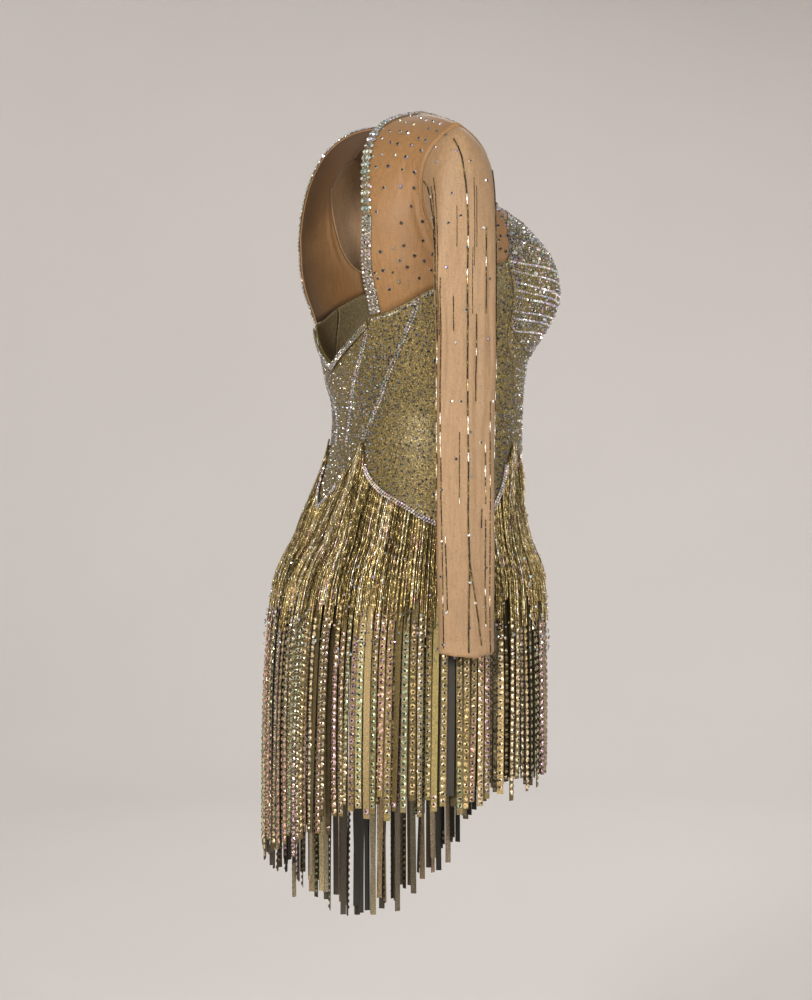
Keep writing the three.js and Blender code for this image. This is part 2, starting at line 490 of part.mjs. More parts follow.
// ---------------------------------------------------------------- fringe
const FRINGE_ROWS = [0, 0.14, 0.34, 0.6, 1];
function fringe(name, a0, a1, n) {
  const us = steps(n), patch = (u, v) => {
    const a = lerp(a0, a1, u);
    return { a, z: lerp(FRINGE_TOP_Z, hem((a + 360) % 360), v) };
  };
  const g = panelGrid(patch, us, FRINGE_ROWS, fringeForm);
  add(name, 'strips', wall(g.map(r => r.map(c => c.p)), g.map(r => r.map(c => c.n.clone().setZ(0).normalize().negate())), FRINGE_T));
}
fringe('fringe_front', -45, 45, 14);
fringe('fringe_right', 45, 135, 14);
fringe('fringe_back', 135, 225, 14);
fringe('fringe_left', 225, 315, 14);

export default group;
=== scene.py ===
# Latin dance dress: fine cloth, stones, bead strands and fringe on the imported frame.
import math
import bpy
import numpy as np
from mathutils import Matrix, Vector


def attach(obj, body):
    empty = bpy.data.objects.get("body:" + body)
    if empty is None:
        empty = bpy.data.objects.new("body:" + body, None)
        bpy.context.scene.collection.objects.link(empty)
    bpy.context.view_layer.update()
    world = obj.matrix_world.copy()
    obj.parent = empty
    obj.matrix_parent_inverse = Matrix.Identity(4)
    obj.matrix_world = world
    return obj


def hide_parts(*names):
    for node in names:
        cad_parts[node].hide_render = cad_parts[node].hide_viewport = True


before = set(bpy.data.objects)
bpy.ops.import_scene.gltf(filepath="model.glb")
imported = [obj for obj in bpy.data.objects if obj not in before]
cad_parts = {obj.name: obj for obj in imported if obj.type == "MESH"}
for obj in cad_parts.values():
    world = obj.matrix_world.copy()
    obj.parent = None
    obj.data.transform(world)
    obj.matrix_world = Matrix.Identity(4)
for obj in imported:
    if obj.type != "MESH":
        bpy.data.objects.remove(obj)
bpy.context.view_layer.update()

MM = 0.001
rng = np.random.default_rng(20817)

# ------------------------------------------------------------------ camera
AZ, EL, DIST, TARGET_Z = -109.0, 1.5, 2.6, -0.401
LENS = 89.14


def aim(obj, at):
    obj.rotation_mode = "QUATERNION"
    obj.rotation_quaternion = (Vector(at) - obj.location).to_track_quat("-Z", "Y")


cam_data = bpy.data.cameras.new("camera")
cam = bpy.data.objects.new("camera", cam_data)
bpy.context.scene.collection.objects.link(cam)
_a, _e = math.radians(AZ), math.radians(EL)
cam.location = Vector((math.sin(_a) * math.cos(_e), -math.cos(_a) * math.cos(_e), math.sin(_e))) * DIST + Vector((0, 0, TARGET_Z))
aim(cam, (0, 0, TARGET_Z))
cam_data.lens = LENS
cam_data.sensor_width = 36.0
cam_data.clip_start, cam_data.clip_end = 0.05, 60
bpy.context.scene.camera = cam

# ------------------------------------------------------------------ sizes, mm
LUREX_T, MESH_T, HIP_T, TRIM_T, FRINGE_T = 1.6, 1.2, 1.8, 1.5, 6.0
SEAM_GAP, TRIM_LIFT, BINDING_LIFT = 0.42, 0.7, 1.0
BACK_TRIM_W, FRONT_TRIM_W, V_BINDING_W = 10.5, 5.5, 6.0
HIP_BASE_Z, FRINGE_TOP_Z, CUFF_Z = -545.0, -470.0, -550.0
SHOULDER_NECK, SHOULDER_TIP = (63.0, 6.0, -6.0), (165.0, 4.0, -27.0)

# half width, front y, y of the widest line, back y, squareness front and back
BODY = [
    (-70, 146, -52, 8, 100, 3.0, 2.3), (-95, 147, -64, 8, 106, 2.8, 2.3),
    (-120, 147, -85, 6, 110, 2.6, 2.3), (-150, 146, -102, 2, 109, 2.5, 2.3),
    (-175, 144, -108, -1, 104, 2.4, 2.3), (-205, 140, -112, -6, 92, 2.35, 2.3),
    (-235, 133, -115, -13, 83, 2.3, 2.3), (-258, 128, -118, -18, 79.5, 2.3, 2.3),
    (-280, 123.5, -115.5, -21, 75, 2.3, 2.3), (-300, 119.5, -114.5, -23, 69.5, 2.3, 2.3),
    (-318, 118, -114, -23, 68.5, 2.3, 2.3), (-340, 119.5, -113.5, -22, 70, 2.3, 2.3),
    (-360, 124, -113, -19, 75, 2.3, 2.3), (-380, 131, -112.5, -16, 82, 2.3, 2.3),
    (-401, 140, -110.5, -11, 90.5, 2.3, 2.3), (-420, 147, -112.5, -8, 98, 2.3, 2.3),
    (-440, 153, -117, -6, 105, 2.3, 2.3), (-465, 159, -122, -3, 113, 2.3, 2.3),
    (-490, 163, -123.5, -1, 118, 2.3, 2.3), (-520, 166, -124.5, 0, 123, 2.3, 2.3),
    (-560, 168, -125, 0.5, 126, 2.3, 2.3),
]
CUP = dict(x=78, z=-180, inR=84, outR=74, upR=98, downR=78, rise=39.5, lean=0.2)
FRINGE = [
    (-465, 168.5, -130.5, -3, 123, 2.3, 2.3), (-506, 175.5, -133.5, 0, 133, 2.3, 2.3),
    (-548, 179.5, -134.5, 2, 139, 2.3, 2.3), (-611, 181.5, -135.5, 3, 142.5, 2.3, 2.3),
    (-700, 182, -135.5, 4, 144, 2.3, 2.3), (-900, 182, -135.5, 4, 144, 2.3, 2.3),
]
TOP_EDGE = [(0, -166), (7.5, -160), (15, -148), (22.5, -128), (30, -103), (37, -108), (44, -113), (51, -119),
            (58.5, -135), (66, -157), (78, -166), (90, -177), (99, -186), (108, -194), (116, -201), (124, -207),
            (131.5, -211), (139, -213), (147, -221), (158, -234), (169, -246), (180, -258)]
CUP_EDGE = [(0, -236), (15, -246), (30, -252), (44, -248), (58.5, -234), (66, -222)]
HIP_EDGE = [(0, -406), (15, -394), (30, -376), (45, -353), (55, -344), (61, -360), (68, -392), (78, -417),
            (90, -427), (101, -421), (121, -402), (138, -386), (150, -366), (156, -342), (162, -356), (170, -385),
            (180, -408)]
PRINCESS = [(-150, 66), (-222, 66), (-262, 58), (-318, 51), (-344, 55), (-430, 55)]
SIDE_BACK = [(-150, 108), (-194, 108), (-232, 119), (-262, 129), (-290, 139), (-318, 149), (-342, 156), (-430, 156)]
CENTRE_BACK = [(-190, 147), (-221, 147), (-254, 154), (-281, 164), (-312, 173), (-345, 175.5), (-430, 175.5)]
HEM = [(0, -684), (30, -672), (74, -688), (104, -699), (123, -697), (140, -705), (150, -727), (161, -736),
       (171, -744), (181, -753), (203, -768), (232, -801), (242, -826), (255, -840), (264, -857), (272, -868),
       (284, -862), (302, -828), (322, -768), (342, -712), (360, -684)]
FRONT_YOKE_COLS = [30, 37, 44, 51, 58.5, 66, 70, 74, 78, 82, 86, 90]
BACK_YOKE_COLS = [139, 131.5, 124, 116, 108, 103.5, 99, 94.5, 90]
FRONT_LOFT = dict(neckA=21.5, neckZ=-78, armA=70, armZ=-112)
BACK_LOFT = dict(neckA=134, neckZ=-120, armA=101, armZ=-112)
LOFT_ROWS = 6
FORM_ROWS = [0.34, 0.58, 0.66, 1.0]
SLEEVE = [(-188, 184, 2.5, 12.5, 32), (-240, 185.5, 1.8, 11.5, 30.6), (-300, 188.5, 3.2, 11, 30),
          (-360, 192, 4.9, 10.5, 29.5), (-420, 194.5, 6, 10.5, 29.5), (-480, 196.5, 6, 10.5, 29),
          (-520, 197.5, 6, 10.5, 29), (CUFF_Z, 198, 6, 11, 29)]
LEFT_SWING = [(-150, -12), (-262, -17), (-320, -21.5), (-370, -23), (CUFF_Z, -22)]


# ------------------------------------------------------------------ curves and forms
def curve(rows, c=1):
    rows = sorted(rows, key=lambda r: r[0])
    x = np.array([r[0] for r in rows], float)
    y = np.array([r[c] for r in rows], float)
    d = np.diff(y) / np.diff(x)
    m = np.zeros(len(x))
    m[0], m[-1] = d[0], d[-1]
    for i in range(1, len(x) - 1):
        m[i] = 0 if d[i - 1] * d[i] <= 0 else 2 * d[i - 1] * d[i] / (d[i - 1] + d[i])

    def f(v):
        v = np.clip(np.asarray(v, float), x[0], x[-1])
        i = np.clip(np.searchsorted(x, v, "right") - 1, 0, len(x) - 2)
        h = x[i + 1] - x[i]
        t = (v - x[i]) / h
        t2, t3 = t * t, t * t * t
        return (2 * t3 - 3 * t2 + 1) * y[i] + (t3 - 2 * t2 + t) * h * m[i] + (-2 * t3 + 3 * t2) * y[i + 1] + (t3 - t2) * h * m[i + 1]
    return f


def lerp(p, q, t):
    return p + (q - p) * t


def form(table):
    b, yF, yS, yB, nF, nB = [curve(table, c) for c in range(1, 7)]

    def f(a, z):
        a, z = np.broadcast_arrays(np.asarray(a, float), np.asarray(z, float))
        s, c = np.sin(np.radians(a)), np.cos(np.radians(a))
        front = c >= 0
        e = 2 / np.where(front, nF(z), nB(z))
        mid = yS(z)
        reach = np.where(front, yF(z) - mid, yB(z) - mid)
        return np.stack([-b(z) * np.sign(s) * np.abs(s) ** e, mid + reach * np.abs(c) ** e, z], -1)
    return f


body_form = form(BODY)
fringe_form = form(FRINGE)


def body(a, z):
    p = body_form(a, z).copy()
    front = np.cos(np.radians(np.broadcast_to(a, p.shape[:-1]))) > 0
    ax = np.abs(p[..., 0])
    rx = (ax - CUP["x"]) / np.where(ax < CUP["x"], CUP["inR"], CUP["outR"])
    zz = p[..., 2]
    rz = (zz - CUP["z"]) / np.where(zz > CUP["z"], CUP["upR"], CUP["downR"])
    q = np.where(front, 1 - rx * rx - rz * rz, 0)
    h = CUP["rise"] * np.clip(q, 0, None) ** 1.35
    p[..., 1] -= h * math.cos(CUP["lean"])
    p[..., 0] += np.sign(p[..., 0]) * h * math.sin(CUP["lean"])
    return p


top_edge, cup_edge, hip_edge = curve(TOP_EDGE), curve(CUP_EDGE), curve(HIP_EDGE)
princess, side_back, centre_back = curve(PRINCESS), curve(SIDE_BACK), curve(CENTRE_BACK)
hem = curve(HEM)


def fold(a):
    a = np.asarray(a, float)
    return np.where(a > 180, 360 - a, np.where(a < 0, -a, a))


def unit(v):
    return v / np.maximum(np.linalg.norm(v, axis=-1, keepdims=True), 1e-12)


def outward(a, z, f=body):
    a, z = np.broadcast_arrays(np.asarray(a, float), np.asarray(z, float))
    e = 0.05
    n = unit(np.cross(f(a + e, z) - f(a - e, z), f(a, z + e) - f(a, z - e)))
    p = f(a, z)
    inside = n[..., 0] * p[..., 0] + n[..., 1] * (p[..., 1] + 15) < 0
    return np.where(inside[..., None], -n, n)


# ------------------------------------------------------------------ meshes
made, totals = {}, {}


def build(name, verts, groups, nodes, smooth=True, uv=None):
    """groups is [(faces array (n, k), material, smooth, colours (n, 3) or (n, k, 3) or None)]; verts in mm."""
    mesh = bpy.data.meshes.new(name)
    verts = np.asarray(verts, np.float32).reshape(-1, 3) * MM
    mesh.vertices.add(len(verts))
    mesh.vertices.foreach_set("co", verts.ravel())
    groups = [g for g in groups if len(g[0])]
    loops = np.concatenate([np.asarray(g[0], np.int32).ravel() for g in groups])
    sizes = np.concatenate([np.full(len(g[0]), np.asarray(g[0]).shape[1], np.int32) for g in groups])
    mesh.loops.add(len(loops))
    mesh.loops.foreach_set("vertex_index", loops)
    mesh.polygons.add(len(sizes))
    starts = np.concatenate([[0], np.cumsum(sizes)[:-1]]).astype(np.int32)
    mesh.polygons.foreach_set("loop_start", starts)
    mesh.polygons.foreach_set("loop_total", sizes)
    mats = []
    index, smooths, cols = [], [], []
    for faces, material, sm, colour in groups:
        if material not in mats:
            mats.append(material)
        n, k = np.asarray(faces).shape
        index.append(np.full(n, mats.index(material), np.int32))
        smooths.append(np.full(n, sm))
        if colour is None:
            colour = np.ones((n, 3))
        colour = np.asarray(colour, np.float32)
        if colour.ndim == 2:
            colour = np.repeat(colour[:, None, :], k, axis=1)
        cols.append(colour.reshape(-1, 3))
    for m in mats:
        mesh.materials.append(m)
    mesh.polygons.foreach_set("material_index", np.concatenate(index))
    mesh.polygons.foreach_set("use_smooth", np.concatenate(smooths))
    if any(g[3] is not None for g in groups):
        c = np.concatenate(cols)
        layer = mesh.color_attributes.new("tint", "FLOAT_COLOR", "CORNER")
        layer.data.foreach_set("color", np.concatenate([c, np.ones((len(c), 1), np.float32)], 1).astype(np.float32).ravel())
    if uv is not None:
        layer = mesh.uv_layers.new(name="cloth")
        layer.data.foreach_set("uv", np.asarray(uv, np.float32)[loops].ravel())
    mesh.update(calc_edges=True)
    mesh.validate(clean_customdata=False)
    obj = bpy.data.objects.new(name, mesh)
    bpy.context.scene.collection.objects.link(obj)
    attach(obj, "root")
    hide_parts(*([nodes] if isinstance(nodes, str) else nodes))
    made[name] = obj
    totals[name] = int((sizes - 2).sum())
    return obj


def flip_x(verts):
    v = np.array(verts, float)
    v[..., 0] *= -1
    return v


def shell(name, P, N, t, material, node, wrap=False, uv=None, inner=None):
    """Closed wall from a grid of base points and unit normals."""
    R, C = P.shape[:2]
    verts = np.concatenate([P.reshape(-1, 3), (P + N * np.asarray(t)[..., None] if np.ndim(t) else P + N * t).reshape(-1, 3)])
    k = np.arange(R * C).reshape(R, C)
    if wrap:
        k = np.concatenate([k, k[:, :1]], 1)
    a, b, c, d = k[:-1, :-1].ravel(), k[:-1, 1:].ravel(), k[1:, 1:].ravel(), k[1:, :-1].ravel()
    o = R * C
    outer = np.stack([a + o, b + o, c + o, d + o], 1)
    inn = np.stack([a, d, c, b], 1)
    rims = [np.stack([k[0, :-1], k[0, 1:], k[0, 1:] + o, k[0, :-1] + o], 1),
            np.stack([k[-1, :-1] + o, k[-1, 1:] + o, k[-1, 1:], k[-1, :-1]], 1)]
    if not wrap:
        rims += [np.stack([k[:-1, 0], k[:-1, 0] + o, k[1:, 0] + o, k[1:, 0]], 1),
                 np.stack([k[:-1, -1] + o, k[:-1, -1], k[1:, -1], k[1:, -1] + o], 1)]
    rim = np.concatenate(rims)
    # faces point out: the sign of the volume says which way they run
    allf = np.concatenate([outer, inn, rim])
    v = verts
    vol = (np.einsum("ij,ij->i", v[allf[:, 0]], np.cross(v[allf[:, 1]], v[allf[:, 2]])) + np.einsum("ij,ij->i", v[allf[:, 0]], np.cross(v[allf[:, 2]], v[allf[:, 3]]))).sum()
    if vol < 0:
        outer, inn, rim = outer[:, ::-1], inn[:, ::-1], rim[:, ::-1]
    if uv is not None:
        uv = np.concatenate([uv.reshape(-1, 2), uv.reshape(-1, 2)])
    return build(name, verts, [(outer, material, True, None), (inn, inner or material, True, None), (rim, material, False, None)], node, uv=uv)


def panel_grid(patch, us, vs, f=body, draw=True):
    half, e = SEAM_GAP / 2, 0.002
    U, W = np.meshgrid(us, vs)

    def at(u, v):
        a, z = patch(u, v)
        return f(a, z)
    if draw:
        tu = (at(U + e, W) - at(U - e, W)) / (2 * e)
        tv = (at(U, W + e) - at(U, W - e)) / (2 * e)
        square = np.maximum(0.35, np.linalg.norm(np.cross(unit(tu), unit(tv)), axis=-1))
        su = half / (np.linalg.norm(tu, axis=-1) * square)
        sv = half / (np.linalg.norm(tv, axis=-1) * square)
        U2 = np.where(U == 0, su, np.where(U == 1, 1 - su, U))
        W2 = np.where(W == 0, sv, np.where(W == 1, 1 - sv, W))
    else:
        U2, W2 = U, W
    a, z = patch(U2, W2)
    return f(a, z), outward(a, z, f), a, z


def seam_patch(first, last, top, bottom, left, right, end):
    def between(z, u):
        return lerp(left(z), right(z), u)

    def patch(u, v):
        a_top = lerp(first, last, u)
        z_top, z_end = top(a_top), bottom(lerp(end[0], end[1], u))
        z = lerp(z_top, z_end, v)
        return between(z, u) + (a_top - between(z_top, u)) * (1 - v) ** 2, z
    return patch


# ------------------------------------------------------------------ materials
def new_mat(name):
    m = bpy.data.materials.new(name)
    m.use_nodes = True
    nt = m.node_tree
    nt.nodes.clear()
    out = nt.nodes.new("ShaderNodeOutputMaterial")
    b = nt.nodes.new("ShaderNodeBsdfPrincipled")
    nt.links.new(b.outputs[0], out.inputs[0])
    return m, nt, b


def node(nt, kind, **values):
    n = nt.nodes.new(kind)
    for k, v in values.items():
        if hasattr(n, k):
            setattr(n, k, v)
        else:
            n.inputs[k].default_value = v
    return n


def put(nt, src, dst):
    nt.links.new(src, dst)


def ramp(nt, fac, stops, mode="LINEAR"):
    r = nt.nodes.new("ShaderNodeValToRGB")
    r.color_ramp.interpolation = mode
    els = r.color_ramp.elements
    while len(els) < len(stops):
        els.new(0.5)
    for el, (pos, col) in zip(els, stops):
        el.position = pos
        el.color = (*col, 1) if len(col) == 3 else col
    put(nt, fac, r.inputs[0])
    return r.outputs[0]


def mix(nt, fac, a, b, kind="MIX"):
    m = nt.nodes.new("ShaderNodeMix")
    m.data_type = "RGBA"
    m.blend_type = kind
    for sock, v in ((m.inputs[0], fac), (m.inputs[6], a), (m.inputs[7], b)):
        if hasattr(v, "is_linked") or isinstance(v, bpy.types.NodeSocket):
            put(nt, v, sock)
        elif np.ndim(v):
            sock.default_value = (*v, 1)
        else:
            sock.default_value = v
    return m.outputs[2]


def math_node(nt, op, a, b=None, c=None):
    n = nt.nodes.new("ShaderNodeMath")
    n.operation = op
    for i, v in enumerate((a, b, c)):
        if v is None:
            continue
        if isinstance(v, bpy.types.NodeSocket):
            put(nt, v, n.inputs[i])
        else:
            n.inputs[i].default_value = v
    return n.outputs[0]


def lurex_material(name, dark, mid, bright, metal=0.6, rough=0.42, fleck_and_glint_mix=0.5):
    m, nt, b = new_mat(name)
    tc = node(nt, "ShaderNodeTexCoord")
    co = tc.outputs["Object"]
    fine = node(nt, "ShaderNodeTexNoise", **{"Scale": 820.0, "Detail": 2.0, "Roughness": 0.62})
    put(nt, co, fine.inputs["Vector"])
    cell = node(nt, "ShaderNodeTexVoronoi", **{"Scale": 640.0})
    put(nt, co, cell.inputs["Vector"])
    big = node(nt, "ShaderNodeTexNoise", **{"Scale": 14.0, "Detail": 2.0})
    put(nt, co, big.inputs["Vector"])
    grain = ramp(nt, fine.outputs[0], [(0.30, dark), (0.5, mid), (0.66, bright)])
    sep = node(nt, "ShaderNodeSeparateColor")
    put(nt, cell.outputs["Color"], sep.inputs[0])
    # random cells: below 1 they are flecks of the metal thread, above 1 (up to 2.3) they are painted glints
    fleck_and_painted_glint = ramp(nt, sep.outputs[0], [(0.0, (0.35,) * 3), (0.55, (0.8,) * 3), (0.9, (1.25,) * 3), (1.0, (2.3,) * 3)])
    col = mix(nt, fleck_and_glint_mix, grain, fleck_and_painted_glint, "MULTIPLY")
    drift = ramp(nt, big.outputs[0], [(0.3, (0.84, 0.86, 0.84)), (0.7, (1.14, 1.1, 1.06))])
    col = mix(nt, 1.0, col, drift, "MULTIPLY")
    put(nt, col, b.inputs["Base Color"])
    b.inputs["Metallic"].default_value = metal
    r = ramp(nt, sep.outputs[1], [(0.0, (rough - 0.14,) * 3), (1.0, (rough + 0.14,) * 3)])
    put(nt, r, b.inputs["Roughness"])
    bump = node(nt, "ShaderNodeBump", **{"Strength": 0.55, "Distance": 0.0004})
    put(nt, cell.outputs["Distance"], bump.inputs["Height"])
    put(nt, bump.outputs[0], b.inputs["Normal"])
    return m


GOLD = lurex_material("gold_lurex_cloth", (0.036, 0.026, 0.007), (0.138, 0.102, 0.032), (0.33, 0.255, 0.10), metal=0.3, rough=0.5, fleck_and_glint_mix=0.6)
GOLD_IN = lurex_material("gold_lurex_inside", (0.07, 0.05, 0.02), (0.16, 0.12, 0.06), (0.24, 0.19, 0.1), metal=0.2, rough=0.6, fleck_and_glint_mix=0.2)
# the cloth under the strands is darker than the gold panels: partly its own colour, partly painted shade in the gaps
# between strands
BASE = lurex_material("strand_base_cloth", (0.022, 0.017, 0.006), (0.075, 0.058, 0.022), (0.19, 0.15, 0.065), rough=0.5)
TRIM_GROUND = lurex_material("trim_ground", (0.09, 0.065, 0.026), (0.15, 0.11, 0.05), (0.24, 0.18, 0.085), metal=0.3, rough=0.55, fleck_and_glint_mix=0.4)
BINDING = lurex_material("gold_binding_cloth", (0.16, 0.125, 0.05), (0.33, 0.26, 0.12), (0.52, 0.42, 0.22), rough=0.45)


def strip_material(name, base, metal, rough):
    m, nt, b = new_mat(name)
    tc = node(nt, "ShaderNodeTexCoord")
    co = tc.outputs["Object"]
    fine = node(nt, "ShaderNodeTexNoise", **{"Scale": 700.0, "Detail": 2.0})
    put(nt, co, fine.inputs["Vector"])
    wave = node(nt, "ShaderNodeTexWave", wave_type="BANDS", bands_direction="Z", **{"Scale": 320.0, "Distortion": 0.6})
    put(nt, co, wave.inputs["Vector"])
    at = node(nt, "ShaderNodeAttribute", attribute_name="tint")
    g = ramp(nt, fine.outputs[0], [(0.3, tuple(0.55 * c for c in base)), (0.52, base), (0.7, tuple(1.7 * c for c in base))])
    col = mix(nt, 1.0, g, at.outputs["Color"], "MULTIPLY")
    ribs = ramp(nt, wave.outputs[0], [(0.0, (0.8,) * 3), (1.0, (1.1,) * 3)])
    col = mix(nt, 1.0, col, ribs, "MULTIPLY")
    put(nt, col, b.inputs["Base Color"])
    b.inputs["Metallic"].default_value = metal
    r = ramp(nt, fine.outputs[0], [(0.3, (rough - 0.1,) * 3), (0.7, (rough + 0.12,) * 3)])
    put(nt, r, b.inputs["Roughness"])
    bump = node(nt, "ShaderNodeBump", **{"Strength": 0.4, "Distance": 0.0003})
    put(nt, wave.outputs[0], bump.inputs["Height"])
    put(nt, bump.outputs[0], b.inputs["Normal"])
    return m


STRIP = strip_material("strip_gold_face", (0.20, 0.146, 0.054), 0.55, 0.42)
STRIP_BACK = strip_material("strip_matt_back", (0.20, 0.155, 0.09), 0.1, 0.68)


def mesh_material(name, tones, alpha):
    m, nt, b = new_mat(name)
    tc = node(nt, "ShaderNodeTexCoord")
    co = tc.outputs["Object"]
    knit = node(nt, "ShaderNodeTexVoronoi", **{"Scale": 900.0})
    put(nt, co, knit.inputs["Vector"])
    rib = node(nt, "ShaderNodeTexNoise", **{"Scale": 420.0, "Detail": 3.0, "Roughness": 0.6})
    stretch = node(nt, "ShaderNodeMapping", **{"Scale": (1.0, 1.0, 0.12)})
    put(nt, co, stretch.inputs["Vector"])
    put(nt, stretch.outputs[0], rib.inputs["Vector"])
    big = node(nt, "ShaderNodeTexNoise", **{"Scale": 9.0, "Detail": 2.0})
    put(nt, co, big.inputs["Vector"])
    c0 = ramp(nt, rib.outputs[0], list(zip((0.3, 0.5, 0.72), tones)))
    c1 = ramp(nt, knit.outputs["Distance"], [(0.0, (1.06,) * 3), (0.55, (1.0,) * 3), (0.8, (0.72,) * 3)])
    col = mix(nt, 0.8, c0, c1, "MULTIPLY")
    c2 = ramp(nt, big.outputs[0], [(0.3, (0.94, 0.92, 0.9)), (0.7, (1.05, 1.04, 1.03))])
    col = mix(nt, 1.0, col, c2, "MULTIPLY")
    put(nt, col, b.inputs["Base Color"])
    r = ramp(nt, rib.outputs[0], [(0.3, (0.5,) * 3), (0.7, (0.68,) * 3)])
    put(nt, r, b.inputs["Roughness"])
    b.inputs["Sheen Weight"].default_value = 0.12
    b.inputs["Sheen Roughness"].default_value = 0.45
    b.inputs["Alpha"].default_value = alpha
    bump = node(nt, "ShaderNodeBump", **{"Strength": 0.35, "Distance": 0.0003})
    put(nt, knit.outputs["Distance"], bump.inputs["Height"])
    put(nt, bump.outputs[0], b.inputs["Normal"])
    return m


SKIN = mesh_material("skin_mesh_cloth", ((0.198, 0.097, 0.029), (0.232, 0.118, 0.038), (0.268, 0.14, 0.047)), 0.93)
SKIN_SLEEVE = mesh_material("skin_mesh_sleeve", ((0.218, 0.127, 0.058), (0.252, 0.152, 0.072), (0.288, 0.178, 0.088)), 0.96)


def tint_material(name, metal, rough, spread, scale=1500.0):
    """Finish of stones and beads: the colour is in the mesh's tint, broken up finely."""
    m, nt, b = new_mat(name)
    tc = node(nt, "ShaderNodeTexCoord")
    at = node(nt, "ShaderNodeAttribute", attribute_name="tint")
    n = node(nt, "ShaderNodeTexNoise", **{"Scale": scale, "Detail": 1.0})
    put(nt, tc.outputs["Object"], n.inputs["Vector"])
    v = ramp(nt, n.outputs[0], [(0.35, (1 - spread,) * 3), (0.65, (1 + spread,) * 3)])
    put(nt, mix(nt, 1.0, at.outputs["Color"], v, "MULTIPLY"), b.inputs["Base Color"])
    b.inputs["Metallic"].default_value = metal
    r = ramp(nt, n.outputs[0], [(0.3, (max(0.02, rough * 0.7),) * 3), (0.7, (rough * 1.4,) * 3)])
    put(nt, r, b.inputs["Roughness"])
    return m


STONE = tint_material("foiled_stone", 0.55, 0.24, 0.3, 1900.0)
BUGLE = tint_material("bugle_bead", 0.8, 0.26, 0.22, 900.0)
THREAD = tint_material("thread", 0.0, 0.7, 0.2, 1200.0)

# ------------------------------------------------------------------ stones and beads
AB = np.array([
    (0.92, 0.86, 0.74), (0.95, 0.95, 0.92), (0.90, 0.66, 0.60), (0.72, 0.62, 0.88), (0.60, 0.80, 0.74),
    (0.86, 0.72, 0.42), (0.62, 0.70, 0.82), (0.72, 0.78, 0.50), (0.86, 0.62, 0.76),
])


def tints(n, weights, low=0.75, high=1.1):
    w = np.array(weights, float)
    c = AB[rng.choice(len(AB), n, p=w / w.sum())]
    return c * rng.uniform(low, high, (n, 1))


def stones(name, C, N, T, r, h, tint, slot, nodes, sides=8, dark=0.7, dark_table_reflection=(0.03, 0.022, 0.012), tilt=6.0, ring=0.5, facet_reflection=(0.16, 0.92), sink=0.15, pattern=None, crown=False, hue_mix=0.3, palette=None):
    """Faceted flat-backed stones as one mesh. Each facet's brightness is random, a painted reflection, and a dark table
    is a painted reflection of dark surroundings. pattern, if given, says for each stone whether its table is dark.
    """
    C, N, T = (np.asarray(x, float).reshape(-1, 3) for x in (C, N, T))
    n = len(C)
    r = np.broadcast_to(np.asarray(r, float), (n,))
    h = np.broadcast_to(np.asarray(h, float), (n,))
    N = unit(N + math.radians(tilt) * rng.normal(size=(n, 3)) * 0.7)
    T = unit(T - (T * N).sum(1, keepdims=True) * N)
    B = np.cross(N, T)
    spin = rng.uniform(0, 2 * math.pi / sides, n)
    tint = np.asarray(tint, float)
    i = np.arange(sides)
    j = (i + 1) % sides
    levels = [(1.0, -sink / np.maximum(h, 0.01)), (ring, 1.0)] if not crown else [(1.0, -sink / np.maximum(h, 0.01)), (0.80, 0.55), (ring, 1.0)]
    rings_, quads, qcols = [], [], []
    L = len(levels)
    k = np.arange(n)[:, None] * L * sides
    for li, (rr, hh) in enumerate(levels):
        ang = spin[:, None] + (np.arange(sides) + 0.5 * (li % 2 if crown else 0)) * 2 * math.pi / sides
        e = np.cos(ang)[..., None] * T[:, None] + np.sin(ang)[..., None] * B[:, None]
        up = np.broadcast_to(hh * h, (n,))
        rings_.append(C[:, None] + e * (rr * r)[:, None, None] + N[:, None] * up[:, None, None])
        if li:
            o = (li - 1) * sides
            quads.append(np.stack([k + o + i, k + o + j, k + o + j + sides, k + o + i + sides], -1).reshape(-1, 4))
            # random facet shades are painted reflections; the lower ring of a crowned stone is painted at 0.8 of that
            f = rng.uniform(facet_reflection[0], facet_reflection[1], (n, sides, 1)) * (1.0 if li == L - 1 else 0.8)
            hues = AB if palette is None else palette
            hue = hues[rng.integers(0, len(hues), (n, sides))]
            qcols.append(((tint[:, None] * (1 - hue_mix) + hue * hue_mix) * f).reshape(-1, 3))
    verts = np.concatenate(rings_, 1).reshape(-1, 3)
    t = k + (L - 1) * sides + i
    # dark tables are painted dark reflections; the other tables are painted at 0.35-0.85 of the tint
    painted_dark_table = rng.random(n) < dark if pattern is None else np.asarray(pattern, bool)
    tc = np.where(painted_dark_table[:, None], np.array(dark_table_reflection) * rng.uniform(0.4, 1.8, (n, 1)), tint * rng.uniform(0.35, 0.85, (n, 1)))
    return build(name, verts, [(np.concatenate(quads), STONE, False, np.concatenate(qcols)), (t, STONE, False, tc)], nodes)


def prisms(P0, P1, N, w, sides=4):
    """Vertices and faces of closed prisms from P0 to P1; w is the width."""
    n = len(P0)
    d = unit(P1 - P0)
    B = unit(np.cross(d, N))
    M = np.cross(B, d)
    w = np.broadcast_to(np.asarray(w, float), (n,))
    ang = (np.arange(sides) + 0.5 * (sides % 2)) * 2 * math.pi / sides
    e = np.cos(ang)[None, :, None] * M[:, None] + np.sin(ang)[None, :, None] * B[:, None]
    e = e * (w / 2)[:, None, None]
    verts = np.concatenate([P0[:, None] + e, P1[:, None] + e], 1).reshape(-1, 3)
    k = np.arange(n)[:, None] * 2 * sides
    i = np.arange(sides)
    j = (i + 1) % sides
    q = np.stack([k + i, k + j, k + j + sides, k + i + sides], -1).reshape(-1, 4)
    caps = np.concatenate([(k + i)[:, ::-1], k + sides + i])
    return verts, q, caps


